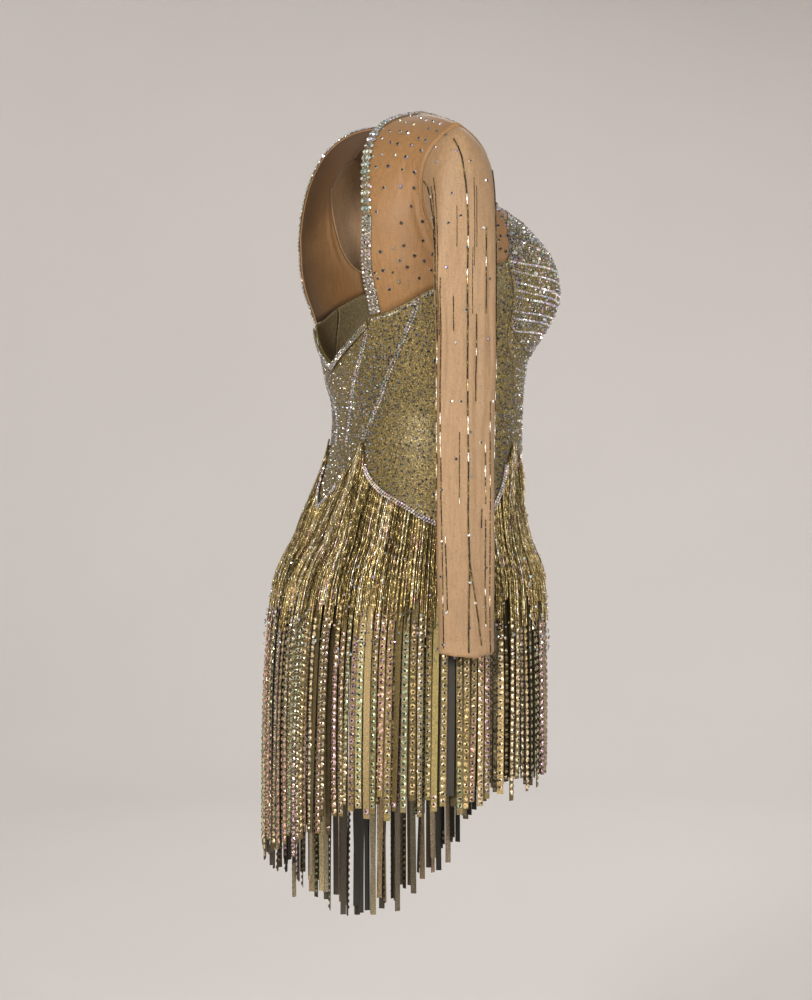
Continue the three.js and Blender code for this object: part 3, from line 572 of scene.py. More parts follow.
def bugles(name, P0, P1, N, w, colour, nodes, sides=4):
    verts, q, caps = prisms(np.asarray(P0, float), np.asarray(P1, float), np.asarray(N, float), w, sides)
    colour = np.asarray(colour, float)
    qc = np.repeat(colour, sides, 0)
    cc = np.concatenate([colour, colour]) * 0.3
    return build(name, verts, [(q, BUGLE, True, qc), (caps, BUGLE, False, cc)], nodes)


# bead tones from near-black olive to near-white cream: the middle tones are the beads' gold, the darkest paint shade
# and the palest paint highlights
BUGLE_TONES = np.array([(0.034, 0.026, 0.010), (0.13, 0.098, 0.034), (0.35, 0.262, 0.098), (0.66, 0.51, 0.24), (1.0, 0.86, 0.58), (1.0, 0.96, 0.84)])


def bugle_tones(n, weights):
    w = np.array(weights, float)
    return BUGLE_TONES[rng.choice(len(BUGLE_TONES), n, p=w / w.sum())] * rng.uniform(0.8, 1.2, (n, 1))


def steps(n):
    return np.arange(n + 1) / n


sides_of = (("right", 1), ("left", -1))
sheets = []   # (object, name of its cut in CUTS) for each cloth piece


def uv_of(P):
    """Arc lengths across and down a grid, mm, as the cloth lies flat."""
    across = np.concatenate([np.zeros((P.shape[0], 1)), np.cumsum(np.linalg.norm(np.diff(P, axis=1), axis=-1), 1)], 1)
    down = np.concatenate([np.zeros((1, P.shape[1])), np.cumsum(np.linalg.norm(np.diff(P, axis=0), axis=-1), 0)], 0)
    return np.stack([across, down], -1)


def pair(name, P, N, t, material, wrap=False, inner=None):
    for side, s in sides_of:
        PP, NN = (P, N) if s > 0 else (flip_x(P), flip_x(N))
        o = shell(f"{name}_{side}_cloth", PP, NN, t, material, f"{name}_{side}", wrap=wrap, inner=inner)
        sheets.append((o, name))


# ------------------------------------------------------------------ gold panels
cup_patch = lambda u, v: (66 * u, lerp(top_edge(66 * u), cup_edge(66 * u), v))
front_patch = seam_patch(0, 66, cup_edge, hip_edge, lambda z: 0 * np.asarray(z, float), princess, (0, 55))
side_patch = seam_patch(66, 108, top_edge, hip_edge, princess, side_back, (55, 156))
back_patch = seam_patch(108, 147, top_edge, hip_edge, side_back, centre_back, (156, 175.5))
centre_patch = seam_patch(147, 213, lambda a: top_edge(fold(a)), lambda a: hip_edge(fold(a)), centre_back, lambda z: 360 - centre_back(z), (175.5, 184.5))


def soft(P, N, a, z, waves, edge=None):
    """Long shallow folds: waves is [(angle, height, half angle, half height, depth, lean)]; depth in mm."""
    d = np.zeros(P.shape[:2])
    for a0, z0, da, dz, depth, lean in waves:
        d += depth * np.exp(-(((a - a0) + lean * (z - z0)) / da) ** 2 - ((z - z0) / dz) ** 2)
    if edge is not None:
        d = d * edge
    return P + N * d[..., None]


def edge_fade(us, vs, w=0.12):
    fu = np.clip(np.minimum(us, 1 - us) / w, 0, 1)
    fv = np.clip(np.minimum(vs, 1 - vs) / w, 0, 1)
    return np.outer(fv, fu)


def panel(name, patch, nu, nv, folds=(), single=False):
    us, vs = steps(nu), steps(nv)
    P, N, a, z = panel_grid(patch, us, vs)
    if folds:
        P = soft(P, N, a, z, folds, edge_fade(us, vs))
    if single:
        o = shell(f"{name}_cloth", P, N, LUREX_T, GOLD, name, inner=GOLD_IN)
        sheets.append((o, name))
    else:
        pair(name, P, N, LUREX_T, GOLD, inner=GOLD_IN)


panel("cup", cup_patch, 36, 32, [(50, -200, 5, 22, -0.8, 0.25), (58, -190, 4, 18, 0.7, 0.2), (10, -215, 5, 14, -0.7, 0)])
panel("front_panel", front_patch, 34, 36, [(30, -316, 18, 7, -0.8, 0), (42, -296, 14, 6, 0.6, 0.1), (20, -335, 16, 8, 0.6, 0), (12, -270, 8, 9, -0.6, 0)])
panel("side_panel", side_patch, 44, 48, [(88, -318, 24, 8, -1.1, 0.1), (100, -300, 18, 7, 0.8, 0.25), (76, -335, 16, 8, 0.9, -0.1), (112, -338, 20, 9, -0.9, 0.2), (96, -372, 26, 11, 0.8, 0.1), (120, -322, 16, 6, 0.8, 0.3), (82, -240, 9, 22, -0.8, 0.1)])
panel("back_panel", back_patch, 20, 44, [(150, -300, 9, 8, -0.7, 0.2), (160, -322, 8, 7, 0.6, 0.2), (140, -262, 7, 10, -0.6, 0.1)])
panel("centre_back_panel", centre_patch, 36, 40, [(180, -300, 12, 8, -0.6, 0), (172, -318, 9, 6, 0.5, 0.1), (189, -322, 9, 6, 0.5, -0.1)], single=True)


def hip_patch(a0, a1):
    def patch(u, v):
        a = lerp(a0, a1, u)
        return a, lerp(hip_edge(fold(a)), HIP_BASE_Z, v)
    return patch


for node_name, a0, a1, nu in (("hip_front", -55, 55, 60), ("hip_side_right", 55, 156, 60), ("hip_back", 156, 204, 40), ("hip_side_left", 204, 305, 60)):
    P, N, a, z = panel_grid(hip_patch(a0, a1), steps(nu), steps(20))
    o = shell(f"{node_name}_cloth", P, N, HIP_T, BASE, node_name, inner=GOLD_IN)
    sheets.append((o, node_name))


# ------------------------------------------------------------------ yokes
def hermite(p, tp, q, tq, t):
    t = np.asarray(t, float)[..., None]
    t2, t3 = t * t, t * t * t
    return p * (2 * t3 - 3 * t2 + 1) + tp * (t3 - 2 * t2 + t) + q * (-2 * t3 + 3 * t2) + tq * (t3 - t2)


def shoulder(s):
    s = np.asarray(s, float)
    return np.stack([-lerp(SHOULDER_NECK[0], SHOULDER_TIP[0], s), lerp(SHOULDER_NECK[1], SHOULDER_TIP[1], s),
                     lerp(SHOULDER_NECK[2], SHOULDER_TIP[2], s) + 2 * np.sin(math.pi * s)], -1)


FRONT_PULL = dict(neck=[(0, -105, -2), (-10, -30, -125)], arm=[(12, -104, -58), (10, 44, -140)])
BACK_PULL = dict(neck=[(34, 195, -12), (-34, 4, -190)], arm=[(12, 88, -56), (8, -34, -140)])
arm_swing = curve([(0, 0), (0.34, 0.3), (0.58, 0.72), (0.66, 1), (1, 1)])
YR = LOFT_ROWS + len(FORM_ROWS)


def yoke_point(cols, loft, pull, u, r):
    u, r = np.broadcast_arrays(np.asarray(u, float), np.asarray(r, float))
    n = len(cols) - 1
    k = u * n
    i = np.clip(np.floor(k).astype(int), 0, n - 1)
    cols = np.array(cols, float)
    col = lerp(cols[i], cols[i + 1], k - i)
    uu = np.clip(u, 0, None)
    a_join = lerp(loft["neckA"], loft["armA"], uu ** 0.9)
    z_join = lerp(loft["neckZ"], loft["armZ"], u)
    tp = lerp(np.array(pull["neck"][0], float), np.array(pull["arm"][0], float), u[..., None])
    tq = lerp(np.array(pull["neck"][1], float), np.array(pull["arm"][1], float), (u * u)[..., None])
    P1 = hermite(shoulder(u), tp, body(a_join, z_join), tq, r / LOFT_ROWS)
    step = np.clip(r - LOFT_ROWS, 0, None)
    f = np.interp(step, [0, 1, 2, 3, 4], [0, *FORM_ROWS])
    z = lerp(z_join, top_edge(col), f)
    a = lerp(a_join, col, f) + (arm_swing(f) - f) * (90 - loft["armA"]) * uu ** 3
    P2 = body(a, z)
    on = r > LOFT_ROWS
    return np.where(on[..., None], P2, P1), a, z, on


def yoke_grid(cols, loft, pull, us, rs, aside=None):
    pt = lambda u, r: yoke_point(cols, loft, pull, u, r)[0]
    half, e = SEAM_GAP / 2, 0.01
    U, R = np.meshgrid(us, rs)
    lu = np.linalg.norm(pt(np.where(U < 0.5, U + e, U - e), R) - pt(U, R), axis=-1) / e
    lr = np.linalg.norm(pt(U, np.where(R < 1, R + e, R - e)) - pt(U, R), axis=-1) / e
    if aside is not None:
        U2 = (half + aside) / lu
    else:
        U2 = np.where(U == 0, half / lu, np.where(U == 1, 1 - half / lu, U))
    R2 = np.where(R == 0, half / lr, np.where(R == YR, YR - half / lr, R))
    du = pt(np.minimum(1, U2 + e), R2) - pt(np.maximum(0, U2 - e), R2)
    dr = pt(U2, np.minimum(YR, R2 + e)) - pt(U2, np.maximum(0, R2 - e))
    P, a, z, on = yoke_point(cols, loft, pull, U2, R2)
    n1 = unit(np.cross(du, dr))
    n1 = np.where(((n1 * (P - np.array([-95, 5, -170]))).sum(-1) < 0)[..., None], -n1, n1)
    n2 = outward(a, z)
    w = np.clip((R2 - LOFT_ROWS) / 0.8, 0, 1)[..., None]
    N = unit(n1 * (1 - w) + n2 * w)
    return P, N


yoke_rows = np.concatenate([np.linspace(0, 6, 31), np.linspace(6, 10, 17)[1:]])
FY = (FRONT_YOKE_COLS, FRONT_LOFT, FRONT_PULL)
BY = (BACK_YOKE_COLS, BACK_LOFT, BACK_PULL)
front_P, front_N = yoke_grid(*FY, steps(33), yoke_rows)
back_P, back_N = yoke_grid(*BY, steps(32), yoke_rows)


def folds_on(P, N, us, rs, folds):
    U, R = np.meshgrid(us, rs)
    d = np.zeros(U.shape)
    for u0, r0, du, dr, depth, lean in folds:
        d += depth * np.exp(-(((U - u0) + lean * (R - r0)) / du) ** 2 - ((R - r0) / dr) ** 2)
    fade = np.clip(np.minimum(U, 1 - U) / 0.1, 0, 1) * np.clip(np.minimum(R, YR - R) / 1.0, 0, 1)
    return P + N * (d * fade)[..., None]


front_P = folds_on(front_P, front_N, steps(33), yoke_rows, [(0.8, 6.2, 0.05, 1.6, -0.9, 0.03), (0.9, 7, 0.04, 1.3, 0.8, 0.03), (0.62, 4.6, 0.06, 1.8, -0.6, 0.05)])
back_P = folds_on(back_P, back_N, steps(32), yoke_rows, [(0.86, 6.0, 0.045, 1.8, -1.1, 0.02), (0.93, 6.8, 0.03, 1.4, 0.7, 0.02), (0.7, 4.2, 0.06, 1.6, -0.7, 0.04), (0.45, 8.2, 0.1, 0.5, 0.5, 0.0)])
pair("front_yoke", front_P, front_N, MESH_T, SKIN)
pair("back_yoke", back_P, back_N, MESH_T, SKIN)

# ------------------------------------------------------------------ sleeves
NS = 96
half_n = NS // 2


def arm_loop():
    under = float(LOFT_ROWS + 3)
    kap = np.arange(NS) / NS
    rf = np.clip(kap * 2, 0, 1) * under
    rb = np.where(kap == 0, 0, np.clip((1 - kap) * 2, 0, 1)) * under
    half, e = SEAM_GAP / 2, 0.01

    def side(cols, loft, pull, r):
        pt = lambda u, rr: yoke_point(cols, loft, pull, u, rr)
        lu = np.linalg.norm(pt(1 - e, r)[0] - pt(1.0, r)[0], axis=-1) / e
        U = 1 - half / lu
        rr = np.maximum(r, 0.02)
        P, a, z, on = pt(U, rr)
        du = pt(np.minimum(1, U + e), rr)[0] - pt(U - e, rr)[0]
        dr = pt(U, rr + e)[0] - pt(U, np.maximum(0, rr - e))[0]
        n1 = unit(np.cross(du, dr))
        n1 = np.where(((n1 * (P - np.array([-95, 5, -170]))).sum(-1) < 0)[..., None], -n1, n1)
        w = np.clip((rr - LOFT_ROWS) / 0.8, 0, 1)[..., None]
        return P, unit(n1 * (1 - w) + outward(a, z) * w)
    Pf, Nf = side(*FY, rf)
    Pb, Nb = side(*BY, rb)
    front = (kap <= 0.5)[:, None]
    P, N = np.where(front, Pf, Pb), np.where(front, Nf, Nb)
    for k in (0, half_n):
        P[k] = (Pf[k] + Pb[k]) / 2
        N[k] = unit(Nf[k] + Nb[k])
    N = unit(N + 0.6 * (np.roll(N, 1, 0) + np.roll(N, -1, 0)) + 0.25 * (np.roll(N, 2, 0) + np.roll(N, -2, 0)))
    along = unit(np.roll(P, -1, 0) - np.roll(P, 1, 0))
    out = unit(np.cross(N, along))
    centre = P.mean(0)
    out = np.where(((out * (centre - P)).sum(-1) < 0)[:, None], -out, out)
    for _ in range(3):
        out = unit(out + 0.5 * (np.roll(out, 1, 0) + np.roll(out, -1, 0)))
    P = P + out * SEAM_GAP * 1.25
    return P, out, N


loop_P, loop_out, loop_N = arm_loop()
sl_x, sl_y, sl_hx, sl_hy = [curve(SLEEVE, c) for c in range(1, 5)]
PSI = np.arange(NS) / NS * 2 * math.pi


def psi_at(share):
    """psi on the outer face for a place across it: -1 front edge, 0 middle, 1 back edge."""
    return -np.sign(share) * np.arcsin(np.clip(np.abs(share), 0, 1) ** (1 / 0.82))


CAP_ROWS, TUBE_ROWS = 26, 104
# creases: (share across the face, z top, z bottom, half width mm, depth mm, drift mm)
OUTER_CREASES = [
    (0.13, -150, -548, 2.4, -1.5, 1.5), (0.21, -165, -520, 3.2, 0.9, 1.5), (0.80, -150, -330, 2.2, -1.4, -2), (0.92, -150, -420, 2.2, 0.8, -2),
    (0.64, -160, -280, 2.2, -1.1, 1), (-0.10, -150, -250, 2.8, -0.8, 1), (-0.30, -200, -430, 3.2, -0.9, 2), (-0.46, -150, -330, 2.6, 0.7, -1),
    (0.42, -240, -470, 3.8, -0.8, -2), (-0.58, -300, -520, 3.0, -0.9, 1), (-0.78, -150, -290, 3.0, -1.1, 2), (0.56, -380, -540, 3.2, 0.6, 1),
    (0.0, -330, -500, 3.4, 0.7, 1), (-0.82, -360, -530, 2.6, 0.7, -1), (0.33, -420, -548, 2.4, -0.9, -3),
]
INNER_CREASES = [(0.3, -170, -400, 3.5, -1.1, 2), (-0.2, -200, -520, 3.0, -1.2, -1), (-0.6, -170, -360, 3.2, -0.9, 1), (0.65, -260, -530, 3.0, -0.9, 1), (0.05, -180, -300, 3.4, 0.8, 2)]


def make_sleeve(swing):
    """Rings of the sleeve's outer face and their normals, for the right side."""
    def tube(psi, z):
        c, s, e = np.cos(psi), np.sin(psi), 0.82
        ridge = 1.8 * np.clip(1 - np.abs((psi + math.pi) % (2 * math.pi) - math.pi) / 0.35, 0, 1)
        return np.stack([-sl_x(z) - (sl_hx(z) + ridge) * np.sign(c) * np.abs(c) ** e,
                         swing(z) + sl_y(z) - sl_hy(z) * np.sign(s) * np.abs(s) ** e, z + 0 * psi], -1)
    low = np.clip((SHOULDER_TIP[2] - 25 - loop_P[:, 2]) / 70, 0, 1)[:, None]
    lip = loop_P + loop_out * lerp(3.0, 0.8, low) + loop_N * 3.2 * low
    top_ring = tube(PSI, np.full(NS, -188.0))
    span = np.linalg.norm(lip - top_ring, axis=-1)[:, None]
    away = unit(lerp(loop_out, np.array([-1.0, 0, 0]), 0.75))
    rings = [loop_P, (loop_P + lip) / 2]
    for r in range(CAP_ROWS):
        rings.append(hermite(lip, away * span * 0.62, top_ring, np.array([0, 0, -1.0]) * span * 1.15, np.full(NS, r / CAP_ROWS)))
    for z in np.linspace(-188, CUFF_Z, TUBE_ROWS + 1):
        rings.append(tube(PSI, np.full(NS, z)))
    S = np.array(rings)
    # ease the cap into one round: neighbours are averaged along and across, the seam ring stays
    for _ in range(10):
        M = S.copy()
        M[2:40] = 0.5 * S[2:40] + 0.125 * (S[1:39] + S[3:41] + np.roll(S, 1, 1)[2:40] + np.roll(S, -1, 1)[2:40])
        S = M

    def normals(S, like=None):
        dk = np.roll(S, -1, 1) - np.roll(S, 1, 1)
        dz = np.concatenate([S[1:2] - S[0:1], S[2:] - S[:-2], S[-1:] - S[-2:-1]])
        N = unit(np.cross(dk, dz))
        if like is None:
            return -N if (N[60, 0] * (S[60, 0] - S[60].mean(0))).sum() < 0 else N
        return np.where(((N * like).sum(-1) < 0)[..., None], -N, N)
    SN = normals(S)
    zz = S[..., 2]
    zc = np.clip(zz, CUFF_Z, -188)
    hyz = sl_hy(zc)
    yrel = (S[..., 1] - sl_y(zc) - swing(zc)) / hyz
    outer_w = np.clip((np.cos(PSI) + 0.15) / 0.3, 0, 1)[None, :]
    disp = np.zeros(S.shape[:2])
    for creases, w in ((OUTER_CREASES, outer_w), (INNER_CREASES, 1 - outer_w)):
        for share, z0, z1, hw, depth, drift in creases:
            t = np.clip((z0 - zz) / (z0 - z1), -0.2, 1.2)
            ends = np.clip(np.minimum(z0 - zz, zz - z1) / 34, 0, 1)
            ends = ends * ends * (3 - 2 * ends)
            off = (yrel - share) * hyz - drift * np.sin(t * 3.1) - 0.8 * np.sin(zz * 0.031 + share * 7)
            disp += w * depth * ends * np.exp(-(off / hw) ** 2)
    S = S + SN * disp[..., None]
    # broad slack waves, and the turned hem at the cuff
    slack = 0.9 * np.sin(zz * 0.022 + 1.0) * np.sin(PSI * 2 + zz * 0.008) * np.clip((-215 - zz) / 60, 0, 1)
    slack = slack + (np.clip((-530 - zz) / 3, 0, 1) * 0.35 - 0.5 * np.exp(-((zz + 535.5) / 1.2) ** 2))
    S = S + SN * slack[..., None]
    # the cuff edge hangs lowest in the middle of each face
    tail = np.clip((-490 - S[..., 2]) / 60, 0, 1) ** 2
    rise = np.where(yrel > -0.22, 4.6 * (yrel + 0.22) / 1.22, 6.0 * (-0.22 - yrel) / 0.78)
    S[..., 2] += tail * (rise + 0.7 * np.exp(-((yrel + 0.22) / 0.12) ** 2) + 0.4 * np.sin(yrel * 9))
    return S, normals(S, SN)


still = lambda z: np.zeros(np.shape(z))
SR, SRN = make_sleeve(still)
SL, SLN = make_sleeve(curve(LEFT_SWING))
SLEEVES = {"right": (SR, SRN), "left": (SL, SLN)}
for side, s in sides_of:
    S0, N0 = SLEEVES[side]
    PP, NN = (S0, -N0) if s > 0 else (flip_x(S0), flip_x(-N0))
    o = shell(f"sleeve_{side}_cloth", PP, NN, MESH_T, SKIN_SLEEVE, f"sleeve_{side}", wrap=True)
    sheets.append((o, "sleeve"))
    up = MESH_T + 0.12
    rows_ = [loop_P - loop_out * 2.6 + loop_N * up, loop_P - loop_out * 1.2 + loop_N * (up + 0.16), loop_P + loop_N * (up + 0.1),
             lerp(loop_P + loop_N * up, S0[1] + N0[1] * 0.5, 0.5), S0[1] + N0[1] * 0.5, S0[2] + N0[2] * 0.25]
    SP = np.array(rows_)
    dk = np.roll(SP, -1, 1) - np.roll(SP, 1, 1)
    dz = np.concatenate([SP[1:2] - SP[0:1], SP[2:] - SP[:-2], SP[-1:] - SP[-2:-1]])
    M = unit(np.cross(dk, dz))
    M = np.where(((M * loop_N[None]).sum(-1) < 0)[..., None], -M, M)
    if s < 0:
        SP, M = flip_x(SP), flip_x(M)
    shell(f"sleeve_{side}_seam", SP, M, 0.35, SKIN, f"sleeve_{side}", wrap=True)


# ------------------------------------------------------------------ bands
def band_shell(name, P, N, base, t, material, single=False):
    P2 = P + N * base
    if single:
        o = shell(f"{name}_cloth", P2, N, t, material, name)
        sheets.append((o, name))
    else:
        pair(name, P2, N, t, material)


def strip_grid(Y, width, rs):
    cols = []
    for d in (0, width / 4, width / 2, width * 3 / 4, width):
        P, N = yoke_grid(*Y, np.array([0.0]), rs, aside=d)
        cols.append((P[:, 0], N[:, 0]))
    return np.stack([c[0] for c in cols], 1), np.stack([c[1] for c in cols], 1)


bt_rows = np.concatenate([np.linspace(0, 6, 61), np.linspace(6, 10, 33)[1:]])
bt_P, bt_N = strip_grid(BY, BACK_TRIM_W, bt_rows)
ft_rows = bt_rows[bt_rows <= 9.0]
ft_P, ft_N = strip_grid(FY, FRONT_TRIM_W, ft_rows)
band_shell("back_trim", bt_P, bt_N, MESH_T + TRIM_LIFT, 0.9, TRIM_GROUND)
band_shell("front_trim", ft_P, ft_N, MESH_T + TRIM_LIFT, 0.9, TRIM_GROUND)


def top_band(angles, width, n=5):
    angles = np.asarray(angles, float)
    p0, p1 = body(angles - 0.5, top_edge(fold(angles - 0.5))), body(angles + 0.5, top_edge(fold(angles + 0.5)))
    along = unit(p1 - p0)
    drop = width / np.maximum(0.45, np.hypot(along[:, 0], along[:, 1]))
    d = steps(n - 1)
    A = np.repeat(angles[:, None], n, 1)
    Z = top_edge(fold(angles))[:, None] - SEAM_GAP - drop[:, None] * d
    return body(A, Z), outward(A, Z)


nt_P, nt_N = top_band(np.linspace(0.25, 26.5, 34), FRONT_TRIM_W)
band_shell("neckline_trim", nt_P, nt_N, LUREX_T + BINDING_LIFT + 0.3, 0.9, TRIM_GROUND)
bb_P, bb_N = top_band(np.linspace(143, 217, 75), V_BINDING_W)
bb_P = bb_P + bb_N * (0.35 * np.sin(math.pi * steps(4)))[None, :, None]
band_shell("back_binding", bb_P, bb_N, LUREX_T + BINDING_LIFT, 1.3, GOLD, single=True)


# ------------------------------------------------------------------ stones on the trims
def line_points(P, N, pitch, start=0.0, lift=0.0):
    """Points every pitch mm along a polyline of grid points, with normals and tangents."""
    d = np.linalg.norm(np.diff(P, axis=0), axis=-1)
    s = np.concatenate([[0], np.cumsum(d)])
    at = np.arange(start, s[-1] - pitch * 0.35, pitch)
    Q = np.stack([np.interp(at, s, P[:, i]) for i in range(3)], 1)
    M = unit(np.stack([np.interp(at, s, N[:, i]) for i in range(3)], 1))
    e = 0.5
    Q2 = np.stack([np.interp(np.minimum(at + e, s[-1]), s, P[:, i]) for i in range(3)], 1)
    Q1 = np.stack([np.interp(np.maximum(at - e, 0), s, P[:, i]) for i in range(3)], 1)
    return Q + M * lift, M, unit(Q2 - Q1), at / s[-1]


def at_share(P, N, f):
    """A line along a band at a share f of its width."""
    n = P.shape[1] - 1
    k = min(n - 1, int(f * n))
    t = f * n - k
    return lerp(P[:, k], P[:, k + 1], t), unit(lerp(N[:, k], N[:, k + 1], t))


class Bag:
    """Collects stones for one mesh."""
    def __init__(self):
        self.c, self.n, self.t, self.r, self.tint, self.dark = [], [], [], [], [], []

    def add(self, C, N, T, r, tint, dark):
        k = len(C)
        if not k:
            return
        self.c.append(C)
        self.n.append(N)
        self.t.append(T)
        self.r.append(np.broadcast_to(np.asarray(r, float), (k,)))
        self.tint.append(np.asarray(tint))
        self.dark.append(np.broadcast_to(np.asarray(dark), (k,)))

    def parts(self):
        return [np.concatenate(x) for x in (self.c, self.n, self.t, self.r, self.tint, self.dark)]


def emit_pair(bag, name, slot, node_base, sides=8, hr=0.42, **kw):
    C, N, T, r, tint, dark = bag.parts()
    for side, s in sides_of:
        CC, NN, TT = (C, N, T) if s > 0 else (flip_x(C), flip_x(N), flip_x(T))
        stones(f"{name}_{side}_stones", CC, NN, TT, r, r * hr * 1.6, tint, slot, f"{node_base}_{side}", sides=sides, pattern=dark, **kw)


MIXED = (4, 3, 1.6, 1.4, 2.2, 1.5, 1.6, 1.4, 1.0)
COOL = (2, 5, 1.5, 3.0, 2.2, 0.4, 3.2, 0.8, 2.0)
WARM = (4, 3, 2.2, 0.8, 1.0, 3.0, 0.8, 1.4, 1.4)

lift = MESH_T + TRIM_LIFT + 0.9
bag = Bag()
# pairs with gaps between them over the shoulder blade, three close columns below
def part_line(f, s0, s1, pitch, r, weights, low, high, dark, off=0.0, spread=0.0):
    P, N = at_share(bt_P, bt_N, f)
    d = np.concatenate([[0], np.cumsum(np.linalg.norm(np.diff(P, axis=0), axis=-1))])
    C, M, T, s = line_points(P, N, pitch, start=s0 + off, lift=lift)
    ok = s * d[-1] < s1
    C, M, T = C[ok], M[ok], T[ok]
    n = len(C)
    C = C + np.cross(M, T) * rng.normal(0, spread, (n, 1)) if spread else C
    bag.add(C, M, T, rng.uniform(r * 0.93, r * 1.05, n), tints(n, weights, low, high), rng.random(n) < dark)


bt_len = float(np.linalg.norm(np.diff(bt_P[:, 2], axis=0), axis=-1).sum())
# the tint drifts down the band: lilac, blue-green, silver, green, rose
DRIFT = np.array([(0.80, 0.74, 0.86), (0.66, 0.60, 0.88), (0.55, 0.76, 0.78), (0.62, 0.66, 0.84), (0.86, 0.90, 0.74), (0.50, 0.80, 0.62), (0.90, 0.84, 0.62),
                  (0.46, 0.74, 0.64), (0.72, 0.70, 0.62), (0.84, 0.66, 0.66), (0.70, 0.66, 0.56), (0.78, 0.72, 0.74), (0.70, 0.74, 0.60)])


def drift_tints(share, low, high):
    x = np.clip(share, 0, 0.999) * (len(DRIFT) - 1)
    k = np.floor(x).astype(int)
    c = lerp(DRIFT[k], DRIFT[np.minimum(k + 1, len(DRIFT) - 1)], (x - k)[:, None])
    c = c * (1 - 0.3) + AB[rng.integers(0, len(AB), len(c))] * 0.3
    return c * rng.uniform(low, high, (len(c), 1))


def band_rows(P, N, s0, s1, pitch, places, r, low, high, dark, spread=0.0):
    """Rows across the band every pitch mm; places are shares of its width."""
    base_P, base_N = at_share(P, N, 0.0)
    far_P, far_N = at_share(P, N, 1.0)
    d = np.concatenate([[0], np.cumsum(np.linalg.norm(np.diff(base_P, axis=0), axis=-1))])
    at = np.arange(s0, min(s1, d[-1] - 1), pitch)
    for f in places:
        get = lambda A: np.stack([np.interp(at, d, A[:, i]) for i in range(3)], 1)
        p0, p1, n0 = get(base_P), get(far_P), unit(get(base_N))
        C = p0 + (p1 - p0) * f + n0 * (lift if f > 0.05 else lift - 0.5)
        M = n0 if f > 0.05 else unit(n0 - 0.45 * unit(p1 - p0))
        T = unit(np.gradient(p0, axis=0))
        C = C + rng.normal(0, spread, (len(C), 1)) * T
        n = len(C)
        bag.add(C, M, T, rng.uniform(r * 0.93, r * 1.05, n), drift_tints(at / d[-1], low, high), rng.random(n) < dark)


bt_len = float(np.linalg.norm(np.diff(bt_P[:, 0], axis=0), axis=-1).sum())
band_rows(bt_P, bt_N, 1.6, 62, 3.9, (0.0, 0.36, 0.72), 1.75, 0.6, 1.15, 0.25)
band_rows(bt_P, bt_N, 64, 160, 8.1, (0.0, 0.5, 1.0), 2.35, 0.6, 1.15, 0.12)
band_rows(bt_P, bt_N, 66.6, 160, 8.1, (0.16, 0.5, 0.8), 1.15, 0.25, 0.6, 0.5, 0.5)
band_rows(bt_P, bt_N, 69.5, 160, 8.1, (0.0, 0.34, 0.7), 1.2, 0.25, 0.6, 0.5, 0.4)
band_rows(bt_P, bt_N, 162, bt_len - 2, 4.15, (0.0, 0.48, 0.96), 2.0, 0.45, 1.1, 0.25)
band_rows(bt_P, bt_N, 164.1, bt_len - 2, 4.15, (0.24, 0.72, 1.1), 1.15, 0.35, 0.8, 0.4)
emit_pair(bag, "back_trim", "stone_band", "back_trim", sides=6)
bag = Bag()
for f, off in ((0.28, 0.0), (0.74, 1.5)):
    P, N = at_share(ft_P, ft_N, f)
    C, M, T, s = line_points(P, N, 3.1, start=1.2 + off, lift=lift)
    n = len(C)
    bag.add(C, M, T, rng.uniform(1.3, 1.55, n), tints(n, COOL, 0.8, 1.25), rng.random(n) < 0.3)
emit_pair(bag, "front_trim", "stone_band", "front_trim", sides=6)
bag = Bag()
for f, off in ((0.28, 0.0), (0.74, 1.5)):
    P, N = at_share(nt_P, nt_N, f)
    C, M, T, s = line_points(P, N, 3.1, start=1.2 + off, lift=LUREX_T + BINDING_LIFT + 1.2)
    n = len(C)
    bag.add(C, M, T, rng.uniform(1.3, 1.6, n), tints(n, COOL, 0.8, 1.25), rng.random(n) < 0.3)
emit_pair(bag, "neckline_trim", "stone_band", "neckline_trim", sides=6)


bag = Bag()
for f, off, r in ((0.2, 0.0, 1.35), (0.55, 1.6, 1.3), (0.88, 0.6, 1.2)):
    P, N = at_share(bb_P, bb_N, f)
    C, M, T, s = line_points(P, N, 3.6, start=1.2 + off, lift=LUREX_T + BINDING_LIFT + 1.35)
    n = len(C)
    bag.add(C, M, T, rng.uniform(r * 0.9, r * 1.1, n), tints(n, MIXED, 0.2, 0.6), rng.random(n) < 0.5)
C, N, T, r, tint, dark = bag.parts()
stones("back_binding_stones", C, N, T, r, r * 0.65, tint, "gold_binding", "back_binding", sides=6, pattern=dark)


# ------------------------------------------------------------------ stones on the gold cloth
def on_body(a, z, lift=LUREX_T):
    """Place, normal and downward tangent on the gold cloth's face."""
    P, N = body(a, z), outward(a, z)
    T = unit(body(a, np.asarray(z) - 1.0) - P)
    return P + N * lift, N, T


